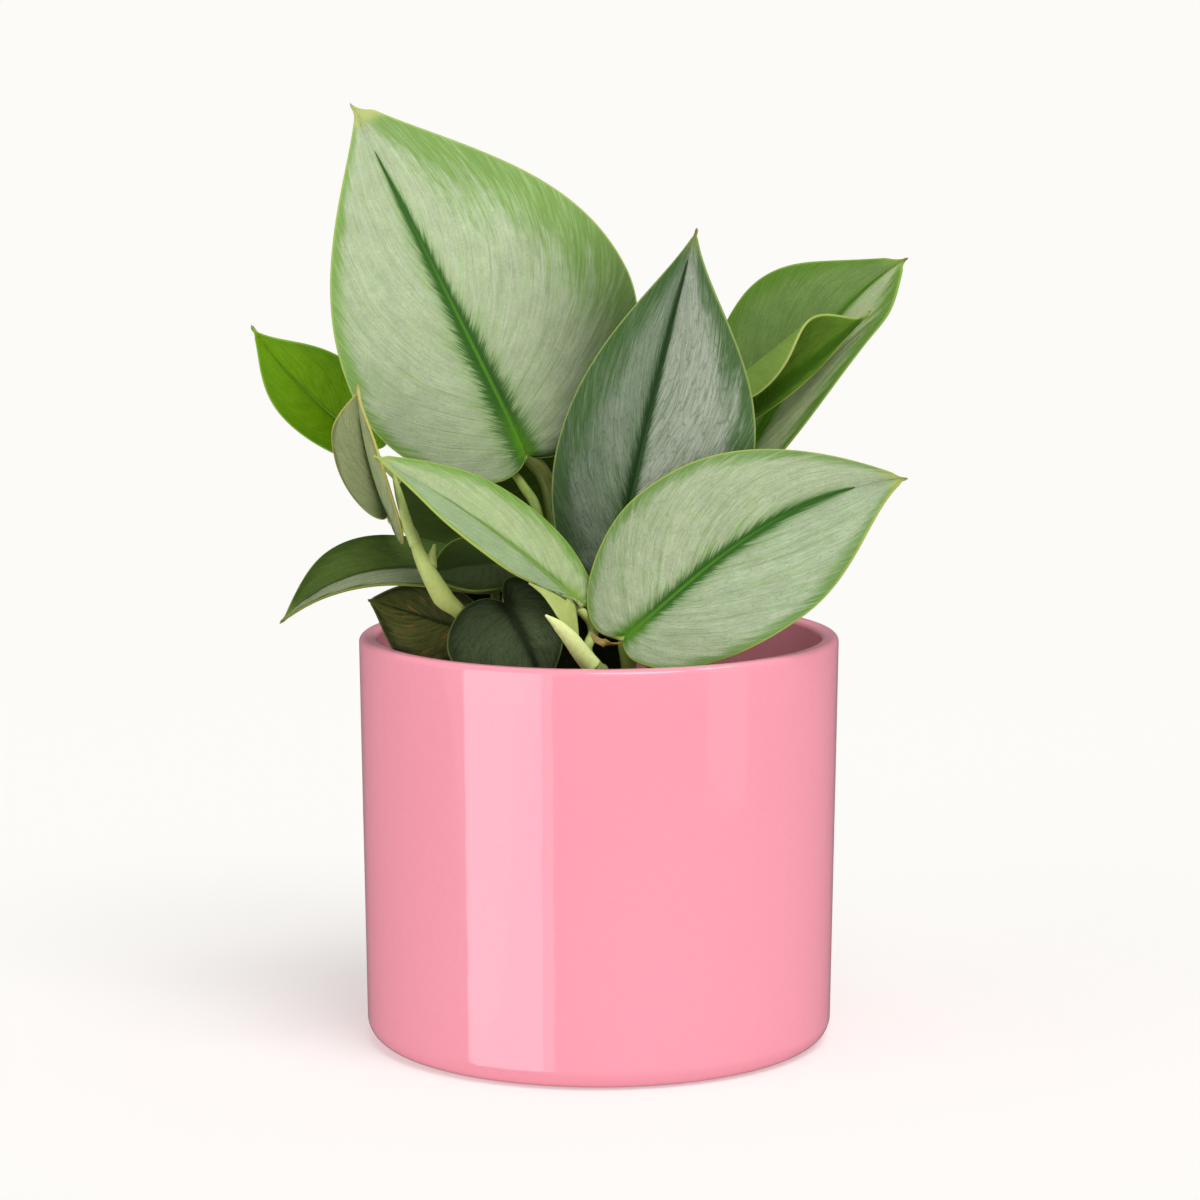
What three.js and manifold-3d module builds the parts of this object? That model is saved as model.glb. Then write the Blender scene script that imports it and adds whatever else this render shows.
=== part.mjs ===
// A small potted aroid, Scindapsus treubii with silvery leaves, in a plain glossy ceramic pot.
// Millimetres, +Z up. The origin is the middle of the pot's foot, on the surface it stands on,
// and the front of the plant looks along -Y.
import * as THREE from 'three';
import { mergeVertices } from 'three/addons/utils/BufferGeometryUtils.js';
import Module from 'manifold-3d';

const wasm = await Module();
wasm.setup();

const GAP = 0.3;

// Pot
const POT_HEIGHT = 108.4;
const POT_TOP_RADIUS = 63.5;
const POT_BASE_RADIUS = 62.0;
const POT_WALL = 4.7;
const POT_FLOOR = 5.5;
const LIP_ROUND = 1.7;
const FOOT_ROUND = 5.9;
const POT_SEGMENTS = 48;
// The corner between the pot's wall and floor inside: steps in from the wall and up from the floor.
const INNER_CORNER = [[0, 5], [1.5, 1.5], [5, 0]];

// Soil
const SOIL_TOP = 84;
const SOIL_EDGE_DROP = 1.5;
const SOIL_FLAT_SHARE = 0.8;
const SOIL_FLAT_DROP = 0.4;
const SOIL_BOTTOM = POT_FLOOR + GAP;

// Blades
const EDGE_THICKNESS = 0.8;
const MIDRIB_THICKNESS = 1.5;
const T_WIDEST = 0.5;
const T_DRIP = 0.92;
const RIB_POWER = 2;
const ROWS = [0, 0.035, 0.09, 0.16, 0.25, 0.35, 0.45, 0.55, 0.65, 0.75, 0.83, 0.89, 0.945, 1];
const COLUMNS = [0, 0.3, 0.6, 0.84, 1];
const TUBE_SIDES = 7;
// The start of a petiole under the midrib: part of the blade's length, depth under it, and radius.
const RIDGE = [[0.16, 0.9, 0.5], [0.07, 1.4, 1.1]];
const PETIOLE_DROP = 1.6;
const PETIOLE_START = 0.75;

// Stems: points up the middle, and the radius at each end.
const STEMS = {
  stem_centre: {
    path: [[4, -4, 72], [3, -4, 88], [-2, -4, 106], [-7, -3.8, 120], [-11.5, -3.2, 131.5]],
    radius: [3.3, 2.3],
  },
  stem_right: {
    path: [[13, 5, 72], [14, 6, 90], [18.5, 8, 108], [25, 9.5, 125], [30, 10, 137]],
    radius: [3.0, 2.4],
  },
  stem_front: {
    path: [[9, -37, 72], [8, -39, 86], [5.6, -42, 95], [2.4, -44.6, 101.4], [-1.4, -46.4, 106.4]],
    radius: [3.1, 2.5],
  },
  stem_left: {
    path: [[-27, -26, 72], [-27.2, -27, 88], [-28.2, -28.4, 99], [-30.4, -30, 108], [-33, -31.8, 115.4]],
    radius: [3.0, 2.4],
  },
};

// Leaves. base and tip end the midrib, face is the way the upper surface looks. Pairs are for the
// left and right half, seen with the tip up. Lengths in mm, angles in degrees, the rest in parts
// of the blade's length or half width. petiole runs from the blade's base to its stem.
const LEAVES = {
  leaf_large: {
    base: [-19, 4, 155.5], tip: [-66.3, 24, 247.6], face: [0.12, -1, 0.22], width: [35, 46],
    widest: [0.29, 0.31], lobe: [0.045, 0.05], full: [0.31, 0.27], fold: [8, 12], curl: [-8, -18],
    arch: 5, sway: -0.5, drip: 0.045, dripWidth: [0.03, 0.10],
    stem: 'stem_centre', radius: [2.2, 2.2, 2.0, 2.0],
    petiole: [[-15.6, 5.4, 151.4], [-13.4, 4.6, 147], [-12.2, 1.8, 141], [-11.5, -1.4, 134.5]],
  },
  leaf_middle: {
    base: [4, -14, 123.9], tip: [25.6, -2, 215.5], face: [-0.12, -1, 0.15], width: [21.9, 29.5],
    widest: [0.32, 0.38], lobe: [0.06, 0.06], full: [0.245, 0.245], fold: [10, 12], curl: [-10, -14],
    arch: 3, sway: -0.5, drip: 0.03, dripWidth: [0.035, 0.035],
    stem: 'stem_centre', petiole: [[3.5, -11.5, 118], [1.5, -7.5, 110], [0.5, -4, 97.5]],
    radius: [2.0, 2.0, 1.9, 1.9],
  },
  leaf_front: {
    base: [6.6, -38, 113.2], tip: [79.7, -22, 152], face: [-0.22, -1, 0.4], width: [26.8, 26.2],
    widest: [0.24, 0.46], lobe: [0.07, 0.04], full: [0.35, 0.36], fold: [8, 12], curl: [-10, -18],
    arch: 4, sway: -6.3, peak: 0.58, drip: 0.03, dripWidth: [0.08, 0.06],
    stem: 'stem_front', radius: [2.0, 2.0, 1.9, 1.9],
    petiole: [[7.4, -36.2, 107], [8.3, -36.2, 99], [7.8, -38.6, 89.5]],
  },
  leaf_left_front: {
    base: [-4.6, -33.5, 120.6], tip: [-57.3, -38, 159.6], face: [0.2, -0.5, 0.85],
    width: [10.2, 13.8], widest: [0.44, 0.36], lobe: [-0.07, 0.05], full: [0.38, 0.38],
    fold: [6, 22], curl: [-8, -14], arch: 4, sway: -1.6, drip: 0.045, dripWidth: [0.08, 0.14],
    stem: 'stem_front', radius: [1.5, 1.3, 1.0, 1.2],
    petiole: [[-4.2, -34, 118.8], [-2.4, -33.2, 117.1], [-1.4, -33, 115], [-1.5, -34.6, 113.1],
      [-2.5, -37.6, 111.5], [-2.7, -40, 109.6], [-0.4, -42, 106.8], [1.6, -42.9, 104]],
  },
  leaf_right_back: {
    base: [36, 13, 149], tip: [83.1, 28, 206.1], face: [-0.25, -1, 0.35], width: [24.0, 14.4],
    widest: [0.52, 0.6], lobe: [0.06, 0.06], full: [0.42, 0.78], fold: [6, 22], curl: [0, 10],
    arch: 4, sway: -3.9, peak: 0.6, drip: 0.05, dripWidth: [0.14, 0.18],
    stem: 'stem_right', radius: [1.7, 1.7, 1.7, 1.7],
    petiole: [[35, 13.8, 144], [32.4, 13.2, 137], [26.6, 10, 128]],
  },
  leaf_furled: {
    base: [32.7, 8, 161.1], tip: [72.2, 10, 193.2], face: [0.1, -1, 0.1], width: [22.4, 3],
    widest: [0.28, 0.4], lobe: [0.04, 0.05], full: [0.45, 0.3], fold: [-40, 8], curl: [225, 0],
    arch: 0, sway: 0.8, drip: 0.08, dripWidth: [0.05, 0.05],
    stem: 'stem_right', radius: [1.5, 1.5, 1.6, 1.6],
    petiole: [[31.8, 8.4, 154], [30.9, 8.8, 146], [29.6, 9.6, 136]],
  },
  leaf_left_back: {
    base: [-62.3, 26, 155], tip: [-94.3, 34, 187.7], face: [0.05, -1, 0.15], width: [9.8, 14],
    widest: [0.40, 0.35], lobe: [0.07, 0.07], full: [0.32, 0.3], fold: [12, 12], curl: [-6, -6],
    arch: 3, sway: -1.8, peak: 0.62, drip: 0.08, dripWidth: [0.12, 0.08],
    stem: 'stem_centre', radius: [1.5, 1.5, 1.6, 1.6],
    petiole: [[-55.5, 22, 148.6], [-42, 17, 136], [-25, 10, 120], [-10, 1, 106], [0, -4, 99]],
  },
  leaf_left_folded: {
    base: [-54.5, -22, 142.4], tip: [-62.2, -20, 176.4], face: [-0.42, -1, 0.05], width: [9.1, 13],
    widest: [0.5, 0.3], lobe: [0.04, 0.2], full: [0.85, 0.25], fold: [10, 50], curl: [-8, 0],
    arch: 2, sway: -0.8, drip: 0.07, dripWidth: [0.06, 0.05],
    stem: 'stem_left', radius: [1.5, 1.5, 1.5, 2.0, 2.4, 2.7, 2.0, 1.9],
    petiole: [[-53.4, -21.8, 141], [-50.8, -26.6, 140.8], [-48, -32, 139.2], [-45.9, -37, 134.8],
      [-43.4, -39.3, 130], [-41.2, -38.8, 125.9], [-39.2, -37.8, 122.6], [-36.4, -36, 120],
      [-33.9, -33, 117]],
  },
  leaf_left_low: {
    base: [-27, -15, 125.6], tip: [-81.8, -34, 115.9], face: [0, -0.9, 0.7], width: [7.6, 12],
    widest: [0.16, 0.5], lobe: [0.06, 0.06], full: [0.35, 0.62], fold: [16, 4], curl: [-6, -26],
    arch: 7, sway: 5.4, peak: 0.58, drip: 0.04, dripWidth: [0.08, 0.08],
    stem: 'stem_left', radius: [1.6, 1.6, 1.6, 1.6],
    petiole: [[-27, -16.4, 120], [-26.2, -20.6, 112], [-26.6, -25.6, 104], [-27.8, -28.8, 95]],
  },
  leaf_behind: {
    base: [-29.6, 14, 154.4], tip: [-22.3, 3, 111.5], face: [0, 1, -0.3], width: [26, 22],
    widest: [0.12, 0.2], lobe: [0.05, 0.08], full: [0.3, 0.5], fold: [4, 4], curl: [0, 0], arch: 1,
    sway: 0, drip: 0.05, dripWidth: [0.08, 0.08],
    stem: 'stem_centre', radius: [1.3, 1.3, 1.3, 1.3],
    petiole: [[-27.4, 10.8, 153.6], [-24.6, 8.4, 152], [-21.8, 6, 149.4], [-19.6, 3, 146.6],
      [-17.2, 0, 143.4], [-15.4, -2.8, 138], [-13.2, -4, 131.5], [-10.4, -4, 126]],
  },
  leaf_small_dark: {
    base: [-22.6, -19, 129.4], tip: [-43.8, -31, 128.2], face: [0, -0.8, 0.6], width: [9.4, 8.0],
    widest: [0.45, 0.45], lobe: [0.08, 0.08], full: [0.6, 0.6], fold: [8, 8], curl: [0, 0],
    arch: 2, sway: 0, drip: 0.05, dripWidth: [0.25, 0.2],
    stem: 'stem_centre', radius: [1.3, 1.3, 1.3, 1.3],
    petiole: [[-19.5, -14.5, 127.4], [-13.4, -7.6, 123.6], [-7.6, -3.8, 121]],
  },
  leaf_pot_left: {
    base: [-33.2, -25, 112.6], tip: [-60.3, -15.5, 119.5], face: [0.25, -1, 0.12],
    width: [13.4, 9.4], widest: [0.34, 0.28], lobe: [0.08, 0.12], full: [0.26, 0.45], fold: [4, 4],
    curl: [0, 0], arch: 2, sway: 0, drip: 0.05, dripWidth: [0.08, 0.12],
    stem: 'stem_left', radius: [1.4, 1.4, 1.4, 1.4],
    petiole: [[-31.6, -25.2, 110], [-30.6, -25.8, 105], [-29.4, -28, 98]],
  },
  leaf_pot_front: {
    base: [-24.1, -37.5, 121.7], tip: [-13.6, -45.9, 98.8], face: [0.02, -1, 0.25],
    width: [11.8, 19.2], widest: [0.22, 0.3], lobe: [0.2, 0.13], full: [0.3, 0.4], fold: [-4, 4],
    curl: [-10, -6], arch: 2, sway: -1, drip: 0.05, dripWidth: [0.08, 0.08],
    stem: 'stem_left', radius: [1.4, 1.4, 1.5, 1.5],
    petiole: [[-23.4, -36.0, 120.8], [-23.6, -33.4, 116.8], [-26, -30.9, 109], [-28.8, -29.8, 100]],
  },
  leaf_inner: {
    base: [2.6, -24, 99.2], tip: [-6.9, -27, 119.5], face: [0, -1, 0.25], width: [12.5, 12],
    widest: [0.45, 0.4], lobe: [0.08, 0.08], full: [0.8, 0.45], fold: [6, 6], curl: [0, 0],
    arch: 1, sway: 0, drip: 0.05, dripWidth: [0.08, 0.08],
    stem: 'stem_centre', radius: [1.3, 1.3, 1.3, 1.3],
    petiole: [[2.9, -20.5, 96.5], [3.2, -13, 91.5], [3.1, -5, 88]],
  },
  leaf_deep: {
    base: [-6, -11, 102.6], tip: [-46, -10.5, 119.1], face: [0, -1, 0.1], width: [8, 15.8],
    widest: [0.4, 0.33], lobe: [0.06, 0.1], full: [0.4, 0.36], fold: [4, 4], curl: [0, 0],
    arch: 1, sway: 0, drip: 0.05, dripWidth: [0.08, 0.08],
    stem: 'stem_centre', radius: [1.3, 1.3, 1.3, 1.3],
    petiole: [[-5, -10.5, 100.5], [-3.4, -8.6, 95], [-1, -5.5, 90], [1.2, -4.6, 88.5]],
  },
};

// Flat sheaths and sheath tips that belong to a leaf's petiole, as half sizes along a path.
const SHEATHS = {
  leaf_left_front: [{
    path: [[-17.7, -43.2, 127.8], [-14.0, -41.7, 125.2], [-10.9, -40.8, 122.3],
      [-8.5, -40.2, 119.8], [-5.9, -37.2, 117.8]],
    across: [0.3, 1.3, 3.1, 4.9, 5.8], deep: [0.3, 0.4, 0.45, 0.5, 0.5], side: [-0.24, -0.89, -0.39],
  }],
  leaf_left_folded: [{
    path: [[-43, -38.3, 131.4], [-42.5, -36.6, 134], [-41.9, -35.2, 136.6]],
    across: [1.9, 1.1, 0.35], deep: [1.9, 1.1, 0.35],
  }, {
    path: [[-46.9, -36.8, 136.6], [-49, -33.6, 142], [-51.2, -30.2, 149], [-53, -27.4, 155]],
    across: [1.4, 1.4, 1.1, 0.3], deep: [1.2, 1.1, 0.9, 0.3],
  }],
};
// The pointed new shoot that ends the front stem.
const SHOOT = {
  path: [[-1.7, -46.6, 106.8], [-4.6, -47.7, 110.6], [-7.4, -48.8, 114.6], [-10.4, -49.9, 118],
    [-13.4, -51, 120.6]],
  radius: [2.5, 2.35, 2.1, 1.5, 0.4],
};
// The dried brown sheath in front of the petioles.
const DRIED_SHEATH = {
  path: [[-1.9, -41.2, 114.4], [-0.6, -42.2, 113], [1.4, -42.6, 112.2], [3.7, -41.1, 111.8],
    [5.5, -38.6, 111.6]],
  across: [0.5, 1.1, 1.3, 1.2, 0.5], deep: [0.4, 0.45, 0.45, 0.45, 0.4],
};

const vec = (p) => new THREE.Vector3(...p);
const radians = THREE.MathUtils.degToRad;

// Drops doubled points and flat triangles, and turns the faces outwards.
function weld(geometry) {
  geometry.deleteAttribute('normal');
  geometry.deleteAttribute('uv');
  const merged = mergeVertices(geometry, 1e-4);
  const position = merged.getAttribute('position');
  const index = merged.getIndex().array;
  const triangles = [];
  let volume = 0;
  const [a, b, c] = [new THREE.Vector3(), new THREE.Vector3(), new THREE.Vector3()];
  for (let i = 0; i < index.length; i += 3) {
    const [p, q, r] = [index[i], index[i + 1], index[i + 2]];
    if (p === q || q === r || r === p) continue;
    triangles.push(p, q, r);
    a.fromBufferAttribute(position, p);
    b.fromBufferAttribute(position, q);
    c.fromBufferAttribute(position, r);
    volume += a.dot(b.cross(c));
  }
  if (volume < 0) {
    for (let i = 0; i < triangles.length; i += 3) {
      [triangles[i], triangles[i + 1]] = [triangles[i + 1], triangles[i]];
    }
  }
  const out = new THREE.BufferGeometry();
  out.setAttribute('position', position.clone());
  out.setIndex(triangles);
  return out;
}

function solid(geometry) {
  const welded = weld(geometry);
  return new wasm.Manifold(new wasm.Mesh({
    numProp: 3,
    vertProperties: Float32Array.from(welded.getAttribute('position').array),
    triVerts: Uint32Array.from(welded.getIndex().array),
  }));
}

// The largest body of a solid, as a geometry.
function geometryOf(manifold) {
  const bodies = manifold.decompose().sort((p, q) => q.volume() - p.volume());
  const mesh = bodies[0].getMesh();
  const geometry = new THREE.BufferGeometry();
  geometry.setAttribute('position', new THREE.BufferAttribute(Float32Array.from(mesh.vertProperties), 3));
  geometry.setIndex(Array.from(mesh.triVerts));
  geometry.computeVertexNormals();
  return geometry;
}

// A closed skin over rings of equal count, with flat ends.
function skin(rings) {
  const count = rings[0].length;
  const points = rings.flat();
  const index = [];
  for (let i = 0; i + 1 < rings.length; i += 1) {
    for (let j = 0; j < count; j += 1) {
      const [a, b] = [i * count + j, i * count + (j + 1) % count];
      const [c, d] = [a + count, b + count];
      index.push(a, b, d, a, d, c);
    }
  }
  const last = (rings.length - 1) * count;
  for (let j = 1; j + 1 < count; j += 1) {
    index.push(0, j + 1, j);
    index.push(last, last + j, last + j + 1);
  }
  const geometry = new THREE.BufferGeometry().setFromPoints(points);
  geometry.setIndex(index);
  return geometry;
}

// A tube along a smooth path. across and deep are its half sizes, and ease from end to end.
function tube(path, across, deep, { grow = 0, longer = 0, side: facing = [1, 0.2, 0] } = {}) {
  const steps = path.length + 3;
  const curve = new THREE.CatmullRomCurve3(path.map(vec), false, 'centripetal');
  const sizeAt = (sizes, t) => {
    const place = t * (sizes.length - 1);
    const low = Math.min(Math.floor(place), sizes.length - 2);
    return THREE.MathUtils.lerp(sizes[low], sizes[low + 1], place - low) + grow;
  };
  const rings = [];
  for (let i = 0; i <= steps; i += 1) {
    const t = i / steps;
    const centre = curve.getPointAt(t);
    const along = curve.getTangentAt(t);
    if (i === 0) centre.addScaledVector(along, -longer);
    if (i === steps) centre.addScaledVector(along, longer);
    const side = vec(facing).addScaledVector(along, -along.dot(vec(facing))).normalize();
    const front = new THREE.Vector3().crossVectors(along, side);
    const ring = [];
    for (let j = 0; j < TUBE_SIDES; j += 1) {
      const angle = (2 * Math.PI * j) / TUBE_SIDES;
      ring.push(centre.clone()
        .addScaledVector(side, Math.cos(angle) * sizeAt(across, t))
        .addScaledVector(front, Math.sin(angle) * sizeAt(deep, t)));
    }
    rings.push(ring);
  }
  return skin(rings);
}

const roundTube = (path, radius, options) => tube(path, radius, radius, options);

function cubic(points, s) {
  const r = 1 - s;
  const weights = [r * r * r, 3 * s * r * r, 3 * s * s * r, s * s * s];
  return [0, 1].map((k) => points.reduce((sum, p, i) => sum + weights[i] * p[k], 0));
}

// Half of the flat outline, from the base (t = 0) round to the tip (t = 1): part of the half
// width across, part of the blade's length along.
function outline(leaf, side, t) {
  const [lobe, widest] = [leaf.lobe[side], leaf.widest[side]];
  const [full, dripWidth] = [leaf.full[side], leaf.dripWidth[side]];
  const neck = 1 - leaf.drip;
  if (t <= T_WIDEST) {
    const round = [1, widest - 0.62 * (widest + lobe)];
    return cubic([[0, 0], [0.3, -2.6 * lobe], round, [1, widest]], t / T_WIDEST);
  }
  if (t <= T_DRIP) {
    const [high, slope] = [[1, widest + 0.42 * (1 - widest)], [dripWidth + full, neck - 0.16]];
    return cubic([[1, widest], high, slope, [dripWidth, neck]], (t - T_WIDEST) / (T_DRIP - T_WIDEST));
  }
  const narrow = [dripWidth * 0.4, 1 - leaf.drip * 0.75];
  const point = [dripWidth * 0.12, 1 - leaf.drip * 0.4];
  return cubic([[dripWidth, neck], narrow, point, [0, 1]], (t - T_DRIP) / (1 - T_DRIP));
}

// A point of the flat half blade: s goes from the midrib (0) along a curved vein to the edge (1).
function flatPoint(leaf, side, t, s) {
  const [x, y] = outline(leaf, side, t);
  const start = t ** RIB_POWER;
  const bendX = 0.5 * x;
  const bendY = start + 0.3 * (y - start);
  return [2 * s * (1 - s) * bendX + s * s * x, (1 - s) ** 2 * start + 2 * s * (1 - s) * bendY + s * s * y];
}

// Where a flat point lies once the blade is folded, curled and arched in space.
function placePoint(leaf, side, [x, y]) {
  const base = vec(leaf.base);
  const axis = vec(leaf.tip).sub(base);
  const length = axis.length();
  axis.normalize();
  const normal = vec(leaf.face);
  normal.addScaledVector(axis, -normal.dot(axis)).normalize();
  const across = new THREE.Vector3().crossVectors(axis, normal);
  const along = THREE.MathUtils.clamp(y, 0, 1) ** (Math.log(0.5) / Math.log(leaf.peak ?? 0.5));
  const bow = 4 * along * (1 - along) + Math.min(y, 0) * 2.5;
  const point = base
    .addScaledVector(axis, y * length)
    .addScaledVector(normal, leaf.arch * bow)
    .addScaledVector(across, leaf.sway * bow);
  const fold = radians(leaf.fold[side]);
  const bend = radians(leaf.curl[side]) / leaf.width[side];
  const distance = x * leaf.width[side];
  const straight = Math.abs(bend) < 1e-9;
  const turned = fold + bend * distance;
  const reach = straight ? distance * Math.cos(fold) : (Math.sin(turned) - Math.sin(fold)) / bend;
  const rise = straight ? distance * Math.sin(fold) : (Math.cos(fold) - Math.cos(turned)) / bend;
  return point.addScaledVector(across, side === 0 ? -reach : reach).addScaledVector(normal, rise);
}

// A blade with the same triangles on both faces.
function blade(leaf) {
  const columns = [...COLUMNS.slice(1).reverse().map((s) => [0, s]), ...COLUMNS.map((s) => [1, s])];
  const middle = [vec(leaf.base), vec(leaf.tip)];
  const weights = [1, 0];
  ROWS.slice(1, -1).forEach((t) => columns.forEach(([side, s]) => {
    middle.push(placePoint(leaf, side, flatPoint(leaf, side, t, s)));
    weights.push((1 - s) ** 2);
  }));
  const at = (row, column) => 2 + row * columns.length + column;
  const lastRow = ROWS.length - 3;
  const faces = [];
  for (let column = 0; column + 1 < columns.length; column += 1) {
    faces.push([0, at(0, column + 1), at(0, column)]);
    faces.push([1, at(lastRow, column), at(lastRow, column + 1)]);
    for (let row = 0; row < lastRow; row += 1) {
      const [a, b] = [at(row, column), at(row, column + 1)];
      const [c, d] = [at(row + 1, column + 1), at(row + 1, column)];
      if (column < COLUMNS.length - 1) faces.push([a, b, c], [a, c, d]);
      else faces.push([a, b, d], [b, c, d]);
    }
  }
  const normals = middle.map(() => new THREE.Vector3());
  faces.forEach(([a, b, c]) => {
    const [u, v] = [middle[b].clone().sub(middle[a]), middle[c].clone().sub(middle[a])];
    [a, b, c].forEach((i) => normals[i].add(new THREE.Vector3().crossVectors(u, v)));
  });
  const offset = (sign) => middle.map((p, i) => {
    const half = 0.5 * THREE.MathUtils.lerp(EDGE_THICKNESS, MIDRIB_THICKNESS, weights[i]);
    return p.clone().addScaledVector(normals[i].clone().normalize(), sign * half);
  });
  const points = [...offset(1), ...offset(-1)];
  const under = middle.length;
  const index = faces.flatMap(([a, b, c]) => [a, b, c, under + a, under + c, under + b]);
  const rim = [0];
  for (let row = 0; row <= lastRow; row += 1) rim.push(at(row, 0));
  rim.push(1);
  for (let row = lastRow; row >= 0; row -= 1) rim.push(at(row, columns.length - 1));
  rim.forEach((a, i) => {
    const b = rim[(i + 1) % rim.length];
    index.push(a, b, under + b, a, under + b, under + a);
  });
  const geometry = new THREE.BufferGeometry().setFromPoints(points);
  geometry.setIndex(index);
  return geometry;
}

// The petiole runs a little way up under the midrib, as the leaf's own midrib does.
function petiolePath(leaf) {
  const along = (q) => placePoint(leaf, 0, [0, q]);
  const normal = vec(leaf.face).normalize();
  const under = (q, drop) => along(q).addScaledVector(normal, -drop).toArray();
  return [...RIDGE.map(([q, drop]) => under(q, drop)), under(0, PETIOLE_DROP), ...leaf.petiole];
}

function petioleSolid(leaf, options) {
  const sizes = [...RIDGE.map((r) => r[2]), leaf.radius[0] * PETIOLE_START, ...leaf.radius];
  return solid(roundTube(petiolePath(leaf), sizes, options));
}

function lathe(profile) {
  const points = profile.map(([r, z]) => new THREE.Vector2(r, z));
  return new THREE.LatheGeometry(points, POT_SEGMENTS).rotateX(Math.PI / 2);
}

const arc = (r, z, radius, from, to, steps) => Array.from({ length: steps + 1 }, (_, i) => {
  const angle = radians(from + ((to - from) * i) / steps);
  return [r + radius * Math.cos(angle), z + radius * Math.sin(angle)];
});

const innerRadius = (z) => THREE.MathUtils.lerp(POT_BASE_RADIUS, POT_TOP_RADIUS, z / POT_HEIGHT) - POT_WALL;

const innerCorner = (floor, gap) => INNER_CORNER.map(([step, rise]) => [
  innerRadius(POT_FLOOR + rise) - step - gap, floor + rise,
]);

function pot() {
  return lathe([
    [0, 0],
    ...arc(POT_BASE_RADIUS - FOOT_ROUND, FOOT_ROUND, FOOT_ROUND, -90, 0, 3),
    ...arc(POT_TOP_RADIUS - LIP_ROUND, POT_HEIGHT - LIP_ROUND, LIP_ROUND, 0, 90, 2),
    ...arc(POT_TOP_RADIUS - POT_WALL + LIP_ROUND, POT_HEIGHT - LIP_ROUND, LIP_ROUND, 90, 180, 2),
    ...innerCorner(POT_FLOOR, 0),
    [0, POT_FLOOR],
  ]);
}

const stemSolid = (name, options) => solid(roundTube(STEMS[name].path, STEMS[name].radius, options));
const stemHole = (name) => stemSolid(name, { grow: GAP, longer: GAP });

function soil() {
  let body = solid(lathe([
    [0, SOIL_BOTTOM],
    ...innerCorner(SOIL_BOTTOM, GAP).reverse(),
    [innerRadius(SOIL_TOP) - GAP, SOIL_TOP - SOIL_EDGE_DROP],
    [innerRadius(SOIL_TOP) * SOIL_FLAT_SHARE, SOIL_TOP - SOIL_FLAT_DROP],
    [0, SOIL_TOP],
  ]));
  Object.keys(STEMS).forEach((name) => {
    body = body.subtract(stemHole(name));
  });
  return geometryOf(body);
}

function leafGeometry(name) {
  const leaf = LEAVES[name];
  let body = solid(blade(leaf)).add(petioleSolid(leaf));
  (SHEATHS[name] ?? []).forEach(({ path, across, deep, side }) => {
    body = body.add(solid(tube(path, across, deep, { side })));
  });
  return geometryOf(body.subtract(stemHole(leaf.stem)));
}

const LOOKS = {
  glaze: new THREE.MeshStandardMaterial({ color: 0xf5a0b4, roughness: 0.12, metalness: 0 }),
  soil: new THREE.MeshStandardMaterial({ color: 0x2f241c, roughness: 1, metalness: 0 }),
  stem: new THREE.MeshStandardMaterial({ color: 0x9db36a, roughness: 0.5, metalness: 0 }),
  silver: new THREE.MeshStandardMaterial({ color: 0x8fa98a, roughness: 0.45, metalness: 0 }),
  dark: new THREE.MeshStandardMaterial({ color: 0x4d6148, roughness: 0.4, metalness: 0 }),
  bright: new THREE.MeshStandardMaterial({ color: 0x5f8f2f, roughness: 0.35, metalness: 0 }),
  dried: new THREE.MeshStandardMaterial({ color: 0x9a6a34, roughness: 0.8, metalness: 0 }),
};

const LEAF_LOOKS = {
  leaf_large: 'silver', leaf_middle: 'dark', leaf_front: 'silver', leaf_left_front: 'silver',
  leaf_right_back: 'bright', leaf_furled: 'bright', leaf_left_back: 'bright', leaf_left_folded: 'silver',
  leaf_left_low: 'dark', leaf_behind: 'dark', leaf_small_dark: 'dark', leaf_pot_left: 'dark',
  leaf_pot_front: 'dark', leaf_inner: 'dark', leaf_deep: 'dark',
};

const plant = new THREE.Group();
plant.name = 'potted_scindapsus';

function addPiece(name, geometry, look, parent = plant) {
  const mesh = new THREE.Mesh(geometry, LOOKS[look]);
  mesh.name = name;
  parent.add(mesh);
}

const stems = new THREE.Group();
const leaves = new THREE.Group();
plant.add(stems, leaves);

addPiece('pot', weld(pot()), 'glaze');
addPiece('soil', soil(), 'soil');
Object.keys(STEMS).forEach((name) => addPiece(name, geometryOf(stemSolid(name)), 'stem', stems));
Object.keys(LEAVES).forEach((name) => addPiece(name, leafGeometry(name), LEAF_LOOKS[name], leaves));

const shoot = solid(roundTube(SHOOT.path, SHOOT.radius)).subtract(stemHole('stem_front'));
addPiece('new_shoot', geometryOf(shoot), 'stem', stems);

const hugged = petioleSolid(LEAVES.leaf_front, { grow: GAP });
const driedSheath = solid(tube(DRIED_SHEATH.path, DRIED_SHEATH.across, DRIED_SHEATH.deep)).subtract(hugged);
addPiece('dried_sheath', geometryOf(driedSheath), 'dried', stems);

export default plant;
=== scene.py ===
"""Looks of a small potted scindapsus: finer leaves, stems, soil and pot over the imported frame.

Sizes in the tables are millimetres in the part's own frame: the origin is the middle of the
pot's foot, +Z is up and the front of the plant looks along -Y.
"""
import math
from functools import partialmethod

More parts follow.
